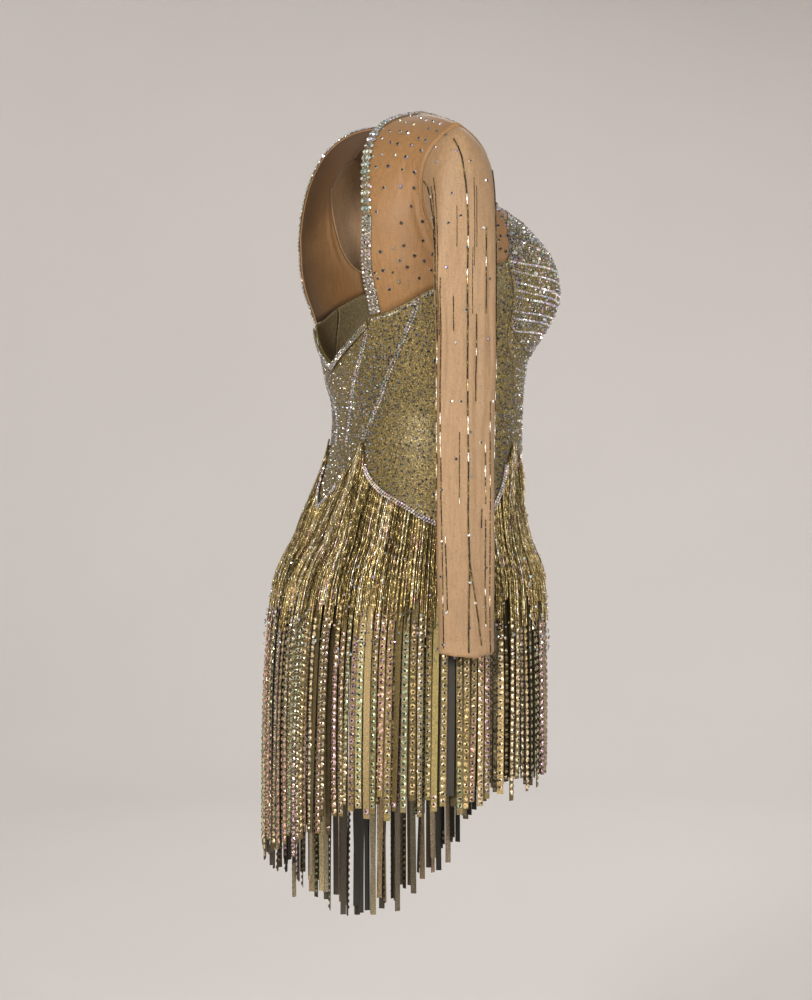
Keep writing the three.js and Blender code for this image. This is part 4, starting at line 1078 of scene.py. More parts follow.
def scatter(patch, pitch, f=body, jitter=0.22, margin=2.0, keep=1.0, region=None):
    """Staggered rows over a patch: arc lengths across and down set the spacing."""
    vs = np.linspace(0.0, 1.0, 161)
    col = f(*patch(np.full(161, 0.5), vs))
    s = np.concatenate([[0], np.cumsum(np.linalg.norm(np.diff(col, axis=0), axis=-1))])
    A, Z = [], []
    rows = np.arange(margin, s[-1] - margin, pitch * 0.86)
    for i, d in enumerate(rows):
        v = np.interp(d, s, vs)
        us = np.linspace(0, 1, 161)
        a, z = patch(us, np.full(161, v))
        row = f(a, z)
        w = np.concatenate([[0], np.cumsum(np.linalg.norm(np.diff(row, axis=0), axis=-1))])
        x = np.arange(margin + (pitch / 2 if i % 2 else 0), w[-1] - margin * 0.7, pitch)
        if not len(x):
            continue
        x = np.clip(x + rng.normal(0, jitter * pitch, len(x)), margin * 0.7, w[-1] - margin * 0.7)
        u = np.interp(x, w, us)
        vv = np.clip(v + rng.normal(0, jitter * pitch, len(x)) / s[-1], 0.012, 0.988)
        a, z = patch(u, vv)
        A.append(np.asarray(a, float) + 0 * u)
        Z.append(np.asarray(z, float) + 0 * u)
    A, Z = np.concatenate(A), np.concatenate(Z)
    ok = rng.random(len(A)) < keep
    if region is not None:
        ok &= region(A, Z)
    return A[ok], Z[ok]


def seam_line(az, pitch, r, weights, start=0.0, spread=0.0, dark=0.2, low=0.9, high=1.35, lift=LUREX_T):
    """Stones along a line given as (a, z) rows."""
    az = np.array(az, float)
    t = np.linspace(0, 1, 400)
    src = np.linspace(0, 1, len(az))
    a, z = np.interp(t, src, az[:, 0]), np.interp(t, src, az[:, 1])
    P, N = body(a, z) + outward(a, z) * lift, outward(a, z)
    C, M, T, s = line_points(P, N, pitch, start=start)
    n = len(C)
    side = np.cross(M, T)
    C = C + side * rng.normal(0, spread, (n, 1))
    return C, M, T, rng.uniform(r * 0.9, r * 1.1, n), tints(n, weights, low, high), rng.random(n) < dark


def seam_pair(az, pitch, r, weights, gap, **kw):  # low and high default to a middling brightness
    """A double row beside a seam."""
    az = np.array(az, float)
    out = []
    for k, sgn in enumerate((-1, 1)):
        t = np.linspace(0, 1, 400)
        src = np.linspace(0, 1, len(az))
        a, z = np.interp(t, src, az[:, 0]), np.interp(t, src, az[:, 1])
        P, N = body(a, z), outward(a, z)
        T = unit(np.gradient(P, axis=0))
        Q = P + N * LUREX_T + np.cross(N, T) * sgn * gap / 2
        C, M, T, s = line_points(Q, N, pitch, start=k * pitch / 2)
        n = len(C)
        out.append((C, M, T, rng.uniform(r * 0.9, r * 1.1, n), tints(n, weights, kw.get("low", 0.7), kw.get("high", 1.3)), rng.random(n) < kw.get("dark", 0.2)))
    return out


zs = np.linspace(-150, -430, 57)
# side panel
bag = Bag()
A, Z = scatter(side_patch, 7.6)
C, N, T = on_body(A, Z)
n = len(C)
bag.add(C, N, T, 1.22 * rng.choice([1.1, 1.3, 1.55], n, p=[0.35, 0.45, 0.2]), tints(n, WARM, 0.1, 0.5), rng.random(n) < 0.9)
top = np.linspace(67, 107, 60)
bag.add(*seam_line(np.stack([top, top_edge(top) - 3.2], 1), 3.3, 1.4, MIXED, dark=0.5))
emit_pair(bag, "side_panel", "gold_lurex", "side_panel", sides=6)

# back panel: both seams carry a close double row
bag = Bag()
A, Z = scatter(back_patch, 6.8)
C, N, T = on_body(A, Z)
n = len(C)
bag.add(C, N, T, 1.22 * rng.choice([1.1, 1.35, 1.6], n, p=[0.3, 0.45, 0.25]), tints(n, WARM, 0.08, 0.42), rng.random(n) < 0.88)
zz1 = np.linspace(-200, -338, 60)
for row in seam_pair(np.stack([side_back(zz1) + 1.6, zz1], 1), 2.9, 1.35, COOL, 3.0):
    bag.add(*row)
zz2 = np.linspace(-224, -345, 60)
for row in seam_pair(np.stack([centre_back(zz2) - 1.6, zz2], 1), 2.9, 1.35, COOL, 3.0):
    bag.add(*row)
top = np.linspace(109, 142, 40)
bag.add(*seam_line(np.stack([top, top_edge(top) - 3.2], 1), 3.2, 1.4, MIXED, dark=0.5))
emit_pair(bag, "back_panel", "gold_lurex", "back_panel", sides=6)

# centre-back point
bag = Bag()
A, Z = scatter(centre_patch, 6.8)
keep_cb = Z < top_edge(fold(A)) - 9
C, N, T = on_body(A[keep_cb], Z[keep_cb])
n = len(C)
bag.add(C, N, T, rng.choice([1.2, 1.5], n), tints(n, WARM, 0.12, 0.5), rng.random(n) < 0.88)
C, N, T, r, tint, dark = bag.parts()
stones("centre_back_panel_stones", C, N, T, r, r * 0.65, tint, "gold_lurex", "centre_back_panel", sides=6, pattern=dark)

# front panel: dense near the centre front
bag = Bag()
A, Z = scatter(front_patch, 4.3, region=lambda a, z: a < 17 + 5 * np.sin(z * 0.05))
C, N, T = on_body(A, Z)
n = len(C)
bag.add(C, N, T, rng.choice([1.3, 1.6, 1.9], n, p=[0.4, 0.4, 0.2]), tints(n, MIXED, 0.4, 0.95), rng.random(n) < 0.6)
A, Z = scatter(front_patch, 7.2, region=lambda a, z: a >= 17 + 5 * np.sin(z * 0.05))
C, N, T = on_body(A, Z)
n = len(C)
bag.add(C, N, T, rng.choice([1.1, 1.4, 1.6], n), tints(n, MIXED, 0.35, 0.9), rng.random(n) < 0.7)
for k in (2.0, 5.5):
    zz1 = np.linspace(-242, -402, 50)
    bag.add(*seam_line(np.stack([np.full(50, k), zz1], 1), 3.6, 1.7, COOL, start=k, dark=0.25))
emit_pair(bag, "front_panel", "gold_lurex", "front_panel", sides=6)

# cups: close rows that run down towards the centre front
bag = Bag()
CUP_ROWS = [(-158, -176), (-167, -190), (-178, -204), (-186, -209), (-193, -213), (-207, -222), (-214, -229), (-226, -237)]
used = []
for k, (z_side, z_mid) in enumerate(CUP_ROWS):
    a = np.linspace(64, 2, 60)
    z = lerp(z_side, z_mid, ((64 - a) / 62) ** 0.8) + 3.0 * np.sin((a - 10) / 50 * math.pi)
    z = np.clip(z, cup_edge(a) + 3.0, top_edge(a) - 4)
    bag.add(*seam_line(np.stack([a, z], 1), 3.3, 1.65 if k % 2 == 0 else 1.5, (2, 4, 1.5, 4.5, 2.2, 0.2, 4, 0.4, 2.0), dark=0.06, low=1.0, high=1.45))
    used.append((a[::-1], z[::-1]))


def off_rows(a, z):
    ok = np.ones(len(a), bool)
    for aa, zz0 in used:
        ok &= np.abs(z - np.interp(a, aa, zz0)) > 2.6
    return ok


A, Z = scatter(cup_patch, 4.5, region=off_rows)
C, N, T = on_body(A, Z)
n = len(C)
bag.add(C, N, T, rng.choice([1.2, 1.5, 1.9, 2.3], n, p=[0.35, 0.35, 0.2, 0.1]), tints(n, MIXED, 0.25, 0.8), rng.random(n) < 0.62)
big = np.array([(60, -150), (48, -158), (40, -186), (52, -170), (30, -196), (24, -220), (44, -214), (58, -196), (20, -168), (33, -150), (12, -190), (36, -232)], float)
C, N, T = on_body(big[:, 0], big[:, 1])
bag.add(C, N, T, np.full(len(big), 3.1), tints(len(big), (1, 4, 1, 1, 1, 2, 2, 0, 0), 1.0, 1.4), rng.random(len(big)) < 0.4)
emit_pair(bag, "cup", "gold_lurex", "cup", sides=6)


# ------------------------------------------------------------------ stones on the mesh
def yoke_stones(name, Y, P, N, pitch, keep, margin_u=0.09, extra=()):
    us, rs = [], []
    for r in np.arange(0.5, 9.9, 0.74):
        row = yoke_point(*Y, np.linspace(0, 1, 60), np.full(60, r))[0]
        w = np.concatenate([[0], np.cumsum(np.linalg.norm(np.diff(row, axis=0), axis=-1))])
        x = np.arange(pitch * 0.7 + (pitch / 2 if int(round((r - 0.5) / 0.74)) % 2 else 0), w[-1] - 5, pitch)
        x = x + rng.normal(0, pitch * 0.14, len(x))
        u = np.interp(x, w, np.linspace(0, 1, 60))
        us.append(u)
        rs.append(np.full(len(u), r) + rng.normal(0, 0.09, len(u)))
    u, r = np.concatenate(us), np.clip(np.concatenate(rs), 0.2, 9.85)
    ok = (u > margin_u) & (u < 0.96) & (rng.random(len(u)) < keep)
    u, r = u[ok], r[ok]
    e = 0.01
    pt = lambda a, b: yoke_point(*Y, a, b)[0]
    Q = pt(u, r)
    du, dr = pt(u + e, r) - pt(u - e, r), pt(u, r + e) - pt(u, r - e)
    M = unit(np.cross(du, dr))
    M = np.where(((M * (Q - np.array([-95, 5, -170]))).sum(-1) < 0)[:, None], -M, M)
    n = len(Q)
    bag = Bag()
    bag.add(Q + M * (MESH_T + 0.05), M, unit(dr), rng.choice([1.8, 2.05, 2.3], n, p=[0.3, 0.45, 0.25]), tints(n, (3, 3, 1, 1, 1, 3, 1, 0.5, 0.5), 0.3, 0.95), rng.random(n) < 0.88)
    emit_pair(bag, name, "skin_mesh", name, sides=8, ring=0.66)


yoke_stones("back_yoke", BY, back_P, back_N, 15.5, 0.94)
yoke_stones("front_yoke", FY, front_P, front_N, 13.0, 0.92)


# ------------------------------------------------------------------ sleeve strands and stones
def sleeve_at(S, SN, share, z, inner=False):
    """Place and normal on the creased sleeve, right side; share across the flat width."""
    psi = psi_at(np.asarray(share, float))
    if inner:
        psi = math.pi - psi
    k = (psi % (2 * math.pi)) / (2 * math.pi) * NS
    i0 = np.floor(k).astype(int) % NS
    i1 = (i0 + 1) % NS
    t = (k - np.floor(k))[:, None]
    z = np.asarray(z, float)
    out_p, out_n = np.zeros((len(z), 3)), np.zeros((len(z), 3))
    for n in range(len(z)):
        colz = lerp(S[3:, i0[n]], S[3:, i1[n]], t[n])
        coln = lerp(SN[3:, i0[n]], SN[3:, i1[n]], t[n])
        zc = colz[:, 2]
        top = int(np.argmax(zc))
        below = zc[top:] < z[n]
        j = top + int(np.argmax(below)) if below.any() else len(zc) - 1
        j = max(j, 1)
        w = 0 if zc[j - 1] == zc[j] else (zc[j - 1] - z[n]) / (zc[j - 1] - zc[j])
        w = min(max(w, 0), 1)
        out_p[n] = lerp(colz[j - 1], colz[j], w)
        out_n[n] = lerp(coln[j - 1], coln[j], w)
    return out_p, unit(out_n)


# Bead lines down the outer face: points (share across, z), bead width, gap, brightness (how often a pale bead, a
# painted glint, appears)
SLEEVE_LINES = [
    ([(0.30, -44), (0.18, -58), (0.10, -90), (0.06, -122), (0.09, -180), (0.10, -260), (0.06, -355), (0.05, -420), (0.02, -460), (0.09, -544)], 1.35, 0.25, 1.0),
    ([(0.05, -449), (-0.18, -492), (-0.40, -538)], 1.15, 0.4, 0.6),
    ([(1.02, -76), (1.00, -112), (0.99, -150), (0.98, -200), (0.985, -240)], 1.1, 0.3, 0.25),
    ([(0.93, -82), (0.95, -236)], 0.8, 0.8, 0.2),
    ([(0.98, -90), (0.985, -180), (1.0, -300), (1.0, -440)], 0.9, 2.2, 0.9),
    ([(0.88, -180), (0.93, -270), (0.93, -330), (0.90, -420), (0.88, -540)], 1.0, 0.6, 0.35),
    ([(0.80, -430), (0.76, -505)], 1.0, 1.2, 0.5),
    ([(-0.20, -82), (-0.17, -168)], 0.55, 0.3, 0.15), ([(-0.27, -90), (-0.24, -150)], 0.55, 0.3, 0.15), ([(-0.12, -150), (-0.10, -215)], 0.6, 1.2, 0.4),
    ([(-0.22, -215), (-0.21, -300)], 0.95, 0.3, 0.5), ([(-0.56, -130), (-0.55, -214)], 0.95, 0.3, 0.5),
    ([(-0.46, -405), (-0.44, -425)], 1.0, 0.5, 0.4), ([(-0.58, -340), (-0.60, -400)], 1.0, 1.0, 0.7), ([(-0.60, -415), (-0.58, -520)], 1.0, 1.0, 0.4),
    ([(-0.76, -300), (-0.75, -545)], 0.8, 2.4, 0.3), ([(0.52, -198), (0.54, -232)], 0.9, 0.4, 0.5), ([(0.38, -110), (0.40, -150)], 0.6, 0.5, 0.3),
    ([(-0.88, -72), (-0.93, -130), (-0.97, -170), (-0.985, -250)], 1.15, 0.3, 0.6), ([(-1.0, -240), (-1.0, -420)], 0.9, 1.6, 0.8), ([(0.34, -330), (0.33, -400)], 0.7, 1.4, 0.3),
]
SLEEVE_DOTS = [(0.72, -46), (0.42, -36), (0.80, -66), (-0.12, -66), (0.30, -56), (1.0, -120), (1.2, -100), (0.27, -120), (0.64, -127), (-0.48, -131), (0.14, -211), (0.49, -243), (-0.66, -239),
               (0.30, -300), (0.0, -330), (0.88, -386), (0.90, -436), (0.94, -470), (0.80, -505), (0.90, -536), (-0.02, -372), (0.04, -430), (0.02, -476), (-0.18, -496), (0.05, -520), (-0.62, -462),
               (-0.52, -500), (-0.9, -300), (0.6, -300), (0.45, -356), (-0.4, -340), (-0.7, -180), (0.5, -98), (-0.6, -84), (0.1, -150), (0.72, -170)]
for side, sgn in sides_of:
    S0, SN0 = SLEEVES[side]
    P0, P1, wd, painted_glint_odds = [], [], [], []
    for li, (pts, w, gap, bright) in enumerate(SLEEVE_LINES):
        pz = [-p[1] for p in pts]
        ps = [p[0] for p in pts]
        z, z1 = -pz[0], -pz[-1]
        while z > z1 + 1.5:
            ln = rng.uniform(6.5, 12.5)
            zb = max(z - ln, z1)
            P0.append((np.interp(-z, pz, ps), z))
            P1.append((np.interp(-zb, pz, ps) + rng.normal(0, 0.004), zb))
            wd.append(w * 1.12)
            # pale beads, painted glints, are most common near z -325 and -150
            painted_glint_odds.append(bright * (0.35 + 2.0 * math.exp(-((z + 325) / 62.0) ** 2) + 0.5 * math.exp(-((z + 150) / 50.0) ** 2)))
            z = zb - gap * rng.uniform(0.3, 1.0) - 0.1
    a0, a1 = np.clip(np.array(P0), -1000, 1000), np.array(P1)
    Q0, N0 = sleeve_at(S0, SN0, np.clip(a0[:, 0], -1, 1), a0[:, 1])
    Q1, N1 = sleeve_at(S0, SN0, np.clip(a1[:, 0], -1, 1), a1[:, 1])
    wd, painted_glint_odds = np.array(wd), np.array(painted_glint_odds)
    Q0, Q1 = Q0 + N0 * (wd * 0.45)[:, None], Q1 + N1 * (wd * 0.45)[:, None]
    # pale beads paint glints; the rest are near-black
    tone = np.where((rng.random(len(Q0)) < 0.3 * painted_glint_odds)[:, None], bugle_tones(len(Q0), (0, 0, 0, 1, 3, 3)), bugle_tones(len(Q0), (4, 4, 0, 0, 0, 0)))
    if sgn < 0:
        Q0, Q1, N0 = flip_x(Q0), flip_x(Q1), flip_x(N0)
    bugles(f"sleeve_{side}_strands", Q0, Q1, N0, wd, tone, f"sleeve_{side}", sides=5)
    d = np.array(SLEEVE_DOTS)
    D, DN = sleeve_at(S0, SN0, np.clip(d[:, 0], -1, 1), d[:, 1])
    E, EN = sleeve_at(S0, SN0, np.clip(-d[::2, 0], -1, 1), d[::2, 1] - 30, inner=True)
    D, DN = np.concatenate([D, E]), np.concatenate([DN, EN])
    if sgn < 0:
        D, DN = flip_x(D), flip_x(DN)
    n = len(D)
    stones(f"sleeve_{side}_stones", D, DN, np.tile([0, 0, 1.0], (n, 1)), 1.85, 1.2, tints(n, (4, 2, 1, 0.5, 0.5, 1, 1, 0.5, 2), 0.5, 1.1), "skin_mesh", f"sleeve_{side}", sides=8, dark=0.6, ring=0.6)


# ------------------------------------------------------------------ hip strands
def skirt(a, z, lift=0.0):
    """The face that the strands lie on: the hip base above, the strips' tops below."""
    a, z = np.broadcast_arrays(np.asarray(a, float), np.asarray(z, float))
    up = body(a, z) + outward(a, z) * (HIP_T + 0.9 + lift)
    n2 = outward(a, z, fringe_form)
    n2[..., 2] = 0
    n2 = unit(n2)
    dn = fringe_form(a, np.minimum(z, -466)) + n2 * (1.3 + lift)
    dn[..., 2] = z
    t = np.clip((-440 - z) / 42, 0, 1)
    t = (t * t * (3 - 2 * t))[..., None]
    return up * (1 - t) + dn * t


def skirt_normal(a, z):
    e = 0.3
    n = unit(np.cross(skirt(a + e, z) - skirt(a - e, z), skirt(a, z + 1) - skirt(a, z - 1)))
    p = skirt(a, z)
    bad = n[..., 0] * p[..., 0] + n[..., 1] * (p[..., 1] + 15) < 0
    return np.where(bad[..., None], -n, n)


PEAKS = (55.0, 156.0, 204.0, 305.0)


def painted_light_patches(a, z, seed):
    """Broad painted highlight and painted shade areas over the strands, about -1 to 1."""
    u, v = a * 2.9 / 17.0, z / 26.0
    return (np.sin(u * 1.7 + 1.3 * np.sin(v * 0.6 + seed) + seed) + np.sin(u * 3.9 + v * 0.9 + seed * 2.3) + 0.8 * np.sin(u * 7.7 - v * 0.5 + seed * 5.1) * np.sin(v * 1.7 + seed)) / 2.2


def fan(a, z, strength, width):
    """Strands near a peak of the hip line start bunched there and spread on the way down."""
    a = np.asarray(a, float)
    shift = np.zeros_like(a)
    for p in PEAKS:
        d = a - p
        shift += -strength * d * np.exp(-(d / width) ** 2)
    t = np.clip((z + 345) / -170, 0, 1)
    return a + shift * (1 - t) ** 1.3


def slow(x, seed, scale):
    """Smooth noise from -1 to 1."""
    return (np.sin(x / scale + seed) + np.sin(x / scale * 2.3 + seed * 3.1) + 0.7 * np.sin(x / scale * 5.1 + seed * 1.7)) / 2.7


def emit_strands(name, paths, nodes, width_mm, weights, gap, seed, tone_gain=1.0):
    """paths is [(a_of(z), z top, z bottom, lift, tone -1..1)]; beads follow each path end to end."""
    A0, Z0, A1, Z1, L0, K, TN = [], [], [], [], [], [], []
    for pi, (a_of, zt, ze, dl, tn) in enumerate(paths):
        z = zt
        m = 0
        while z > ze + 2.5 and m < 60:
            ln = rng.uniform(7.5, 13.0)
            zb = max(z - ln, ze)
            A0.append(a_of(z))
            A1.append(a_of(zb))
            Z0.append(z)
            Z1.append(zb)
            L0.append(dl)
            TN.append(tn)
            z = zb - rng.uniform(0.15, 0.5) * gap
            m += 1
    A0, Z0, A1, Z1, L0, TN = (np.array(x, float) for x in (A0, Z0, A1, Z1, L0, TN))
    Q0, Q1 = skirt(A0, Z0), skirt(A1, Z1)
    N = skirt_normal((A0 + A1) / 2, (Z0 + Z1) / 2)
    Q0, Q1 = Q0 + N * L0[:, None], Q1 + N * (L0 + rng.uniform(-0.02, 0.03, len(L0)))[:, None]
    n = len(Q0)
    w = np.array(weights, float)
    cum = np.cumsum(w / w.sum())
    # one tone for the strand, a slow change down it from painted highlight and shade patches, and a little random
    # change from bead to bead
    x = np.clip(0.53 + 0.29 * TN + 0.22 * painted_light_patches(A0, Z0, seed) + rng.normal(0, 0.055, n), 0.01, 0.99)
    k = np.searchsorted(cum, x)
    tones = BUGLE_TONES[np.clip(k, 0, 5)] * rng.uniform(0.82, 1.18, (n, 1)) * tone_gain * (1 + 0.25 * painted_light_patches(A0, Z0, seed))[:, None]
    pink = rng.random(n) < 0.05
    tones[pink] = tones[pink] * np.array([1.0, 0.78, 1.25])
    return bugles(name, Q0, Q1, N, width_mm, tones, nodes)


def hip_top(a, strength, width):
    """Where a strand's own line crosses the hip line."""
    zz = np.linspace(-335, -470, 136)
    aa = fan(np.full(136, a), zz, strength, width)
    under = zz < hip_edge(fold(aa % 360)) - 1.2
    return float(zz[int(np.argmax(under))]) if under.any() else -470.0


def strands(name, a0, a1, nodes, pitch, layer, zbot, weights, keep=1.0, strength=0.5, width=11, width_mm=1.5, spread_z=14, gap=1.0, seed=0.0, tone_gain=1.0):
    """Bead strands between two angles, each from the hip line to about zbot."""
    mid_r = np.linalg.norm(np.diff(skirt(np.linspace(a0, a1, 200), np.full(200, -470.0)), axis=0), axis=-1)
    s = np.concatenate([[0], np.cumsum(mid_r)])
    at = np.arange(pitch / 2, s[-1] - pitch * 0.3, pitch)
    at = at + rng.normal(0, pitch * 0.16, len(at))
    angs = np.interp(np.clip(at, 0.4, s[-1] - 0.4), s, np.linspace(a0, a1, 200))
    paths = []
    for i, a in enumerate(angs):
        if rng.random() > keep:
            continue
        zt = hip_top(a, strength, width) - rng.uniform(0, 3)
        ze = zbot + spread_z * float(slow(a, seed + 2, 2.6)) + rng.uniform(-spread_z, spread_z) * 0.6
        wob, ph, bow = rng.normal(0, 0.05), rng.uniform(0, 6.28), rng.normal(0, 0.18)

        def a_of(z, a=a, wob=wob, ph=ph, bow=bow):
            return float(fan(np.array(a), z, strength, width)) + wob * math.sin(z * 0.025 + ph) + bow * max(0.0, (-430 - z) / 100)
        # a 7.9 mm light and dark cycle across the strands paints lit bundles with shade between them; the slow part and
        # the noise are random tone
        tone = 0.55 * math.sin(2 * math.pi * at[i] / 7.9 + 1.6 * math.sin(at[i] / 31.0 + seed)) + float(slow(a, seed, 0.9)) * 0.35 + rng.normal(0, 0.3)
        paths.append((a_of, zt, ze, layer + rng.uniform(-0.2, 0.35), tone))
    return emit_strands(name, paths, nodes, width_mm, weights, gap, seed, tone_gain)


DENSE = (1.8, 3.0, 3.8, 3.0, 1.8, 0.6)
BRIGHT = (0.5, 1.4, 2.6, 3.4, 2.8, 1.6)
HIPS = (("hip_front", -55, 55), ("hip_side_right", 55, 156), ("hip_back", 156, 204), ("hip_side_left", 204, 305))
for q, (name, a0, a1) in enumerate(HIPS):
    strands(f"{name}_strands", a0, a1, name, 1.95, 0.0, -512, DENSE, width_mm=1.3, spread_z=20, seed=1.3 + q)
    strands(f"{name}_strands_over", a0, a1, name, 4.6, 1.1, -494, BRIGHT, keep=0.8, strength=0.62, width=13, width_mm=1.1, spread_z=30, gap=1.6, seed=5.1 + q)

# tufts: strands that spring from each point of the hip line and fan over it
for q, (peak, zp, side_w, name) in enumerate(((55, -344, (-30, 14), "hip_front"), (156, -342, (-13, 30), "hip_side_right"), (204, -342, (-30, 13), "hip_side_left"), (305, -344, (-14, 30), "hip_front"))):
    paths = []
    for k in range(40):
        f = (k + 0.5) / 40 + rng.normal(0, 0.015)
        end = lerp(side_w[0], side_w[1], f)
        start = rng.normal(0, 1.3) + 0.05 * end
        zt = zp + 6 - abs(end) * 0.35 - rng.uniform(0, 9)
        ze = rng.uniform(-505, -420) if abs(end) > 9 else rng.uniform(-500, -395)
        power = rng.uniform(0.62, 0.85)
        ph = rng.uniform(0, 6.28)

        def a_of(z, peak=peak, start=start, end=end, zt=zt, power=power, ph=ph):
            t = min(max((zt - z) / 165.0, 0.0), 1.2)
            return peak + start + (end - start) * t ** power + 0.15 * math.sin(z * 0.03 + ph)
        a_end = a_of(ze)
        paths.append((a_of, zt, ze, 1.9 + rng.uniform(-0.5, 0.5), rng.normal(0.15, 0.6)))
    emit_strands(f"hip_point_{q}_strands", paths, name, 1.0, DENSE, 1.4, 9.0 + q, 0.6)


# stones among the strands and along the hip line
def hip_stones(name, a0, a1, node_name):
    bag = Bag()
    aa = np.linspace(a0 + 0.6, a1 - 0.6, 260)
    z = hip_edge(fold(aa % 360)) - 2.4
    P, N = body(aa, z), outward(aa, z)
    T = unit(np.gradient(P, axis=0))
    for k, off in ((0, 0.0), (1, -2.6)):
        Q = P + N * (HIP_T + 1.9) + np.cross(N, T) * off
        C, M, TT, s = line_points(Q, N, 3.0, start=k * 1.5)
        ang = np.interp(s, np.linspace(0, 1, len(aa)), aa)
        ok = np.min([np.abs(ang - p) for p in PEAKS], axis=0) > 8.5
        C, M, TT = C[ok], M[ok], TT[ok]
        n = len(C)
        bag.add(C, M, TT, rng.uniform(1.25, 1.55, n), tints(n, (5, 3, 4, 0.8, 0.6, 1.2, 0.5, 0.5, 2.4), 0.9, 1.25), rng.random(n) < 0.1)
    C, N, T, r, tint, dark = bag.parts()
    # the facet range is painted reflection, duller on the back of the hip line
    stones(f"{name}_line_stones", C, N, T, r, r * 0.75, tint, "strand_base", node_name, sides=6, pattern=dark, tilt=8, facet_reflection=(0.12, 0.55) if node_name == "hip_back" else (0.5, 1.2))
    bag = Bag()
    m = int((a1 - a0) * 2.2)
    a = rng.uniform(a0 + 1, a1 - 1, m)
    zt = hip_edge(fold(a % 360)) - 8
    z = zt - (zt + 556) * rng.random(m) ** 0.62
    dens = rng.random(m) < 0.35 + 0.65 * np.clip((-430 - z) / 100, 0, 1)
    a, z = a[dens], z[dens]
    Q, M = skirt(a, z, 2.1), skirt_normal(a, z)
    n = len(a)
    bag.add(Q, M, np.tile([0, 0, 1.0], (n, 1)), rng.choice([1.1, 1.5, 2.0], n, p=[0.4, 0.4, 0.2]), tints(n, (3, 2, 3, 1.4, 2.6, 1.5, 1, 1.4, 2.6), 0.5, 1.1), rng.random(n) < 0.5)
    C, N, T, r, tint, dark = bag.parts()
    stones(f"{name}_stones", C, N, T, r, r * 0.7, tint, "strand_base", node_name, sides=6, pattern=dark, tilt=12)


for name, a0, a1 in (("hip_front", -55, 55), ("hip_side_right", 55, 156), ("hip_back", 156, 204), ("hip_side_left", 204, 305)):
    hip_stones(name, a0, a1, name)


# ------------------------------------------------------------------ fringe
STRIP_W, STRIP_T, STONE_R, STONE_PITCH = 6.5, 0.7, 3.15, 6.9
# whole-strip tints: champagne, rose, lilac, green-grey, olive gold, silver
STRIP_TINTS = np.array([(0.74, 0.60, 0.35), (0.96, 0.56, 0.48), (0.74, 0.46, 0.64), (0.44, 0.58, 0.34), (0.52, 0.38, 0.13), (0.60, 0.55, 0.42), (0.86, 0.70, 0.46), (0.62, 0.46, 0.20)])
SPECKLE = np.array([(0.75, 0.62, 0.38), (0.95, 0.80, 0.55), (0.55, 0.45, 0.20), (0.90, 0.52, 0.42), (0.42, 0.58, 0.36), (0.36, 0.30, 0.16), (0.70, 0.46, 0.62), (0.62, 0.62, 0.50), (0.40, 0.50, 0.52)])


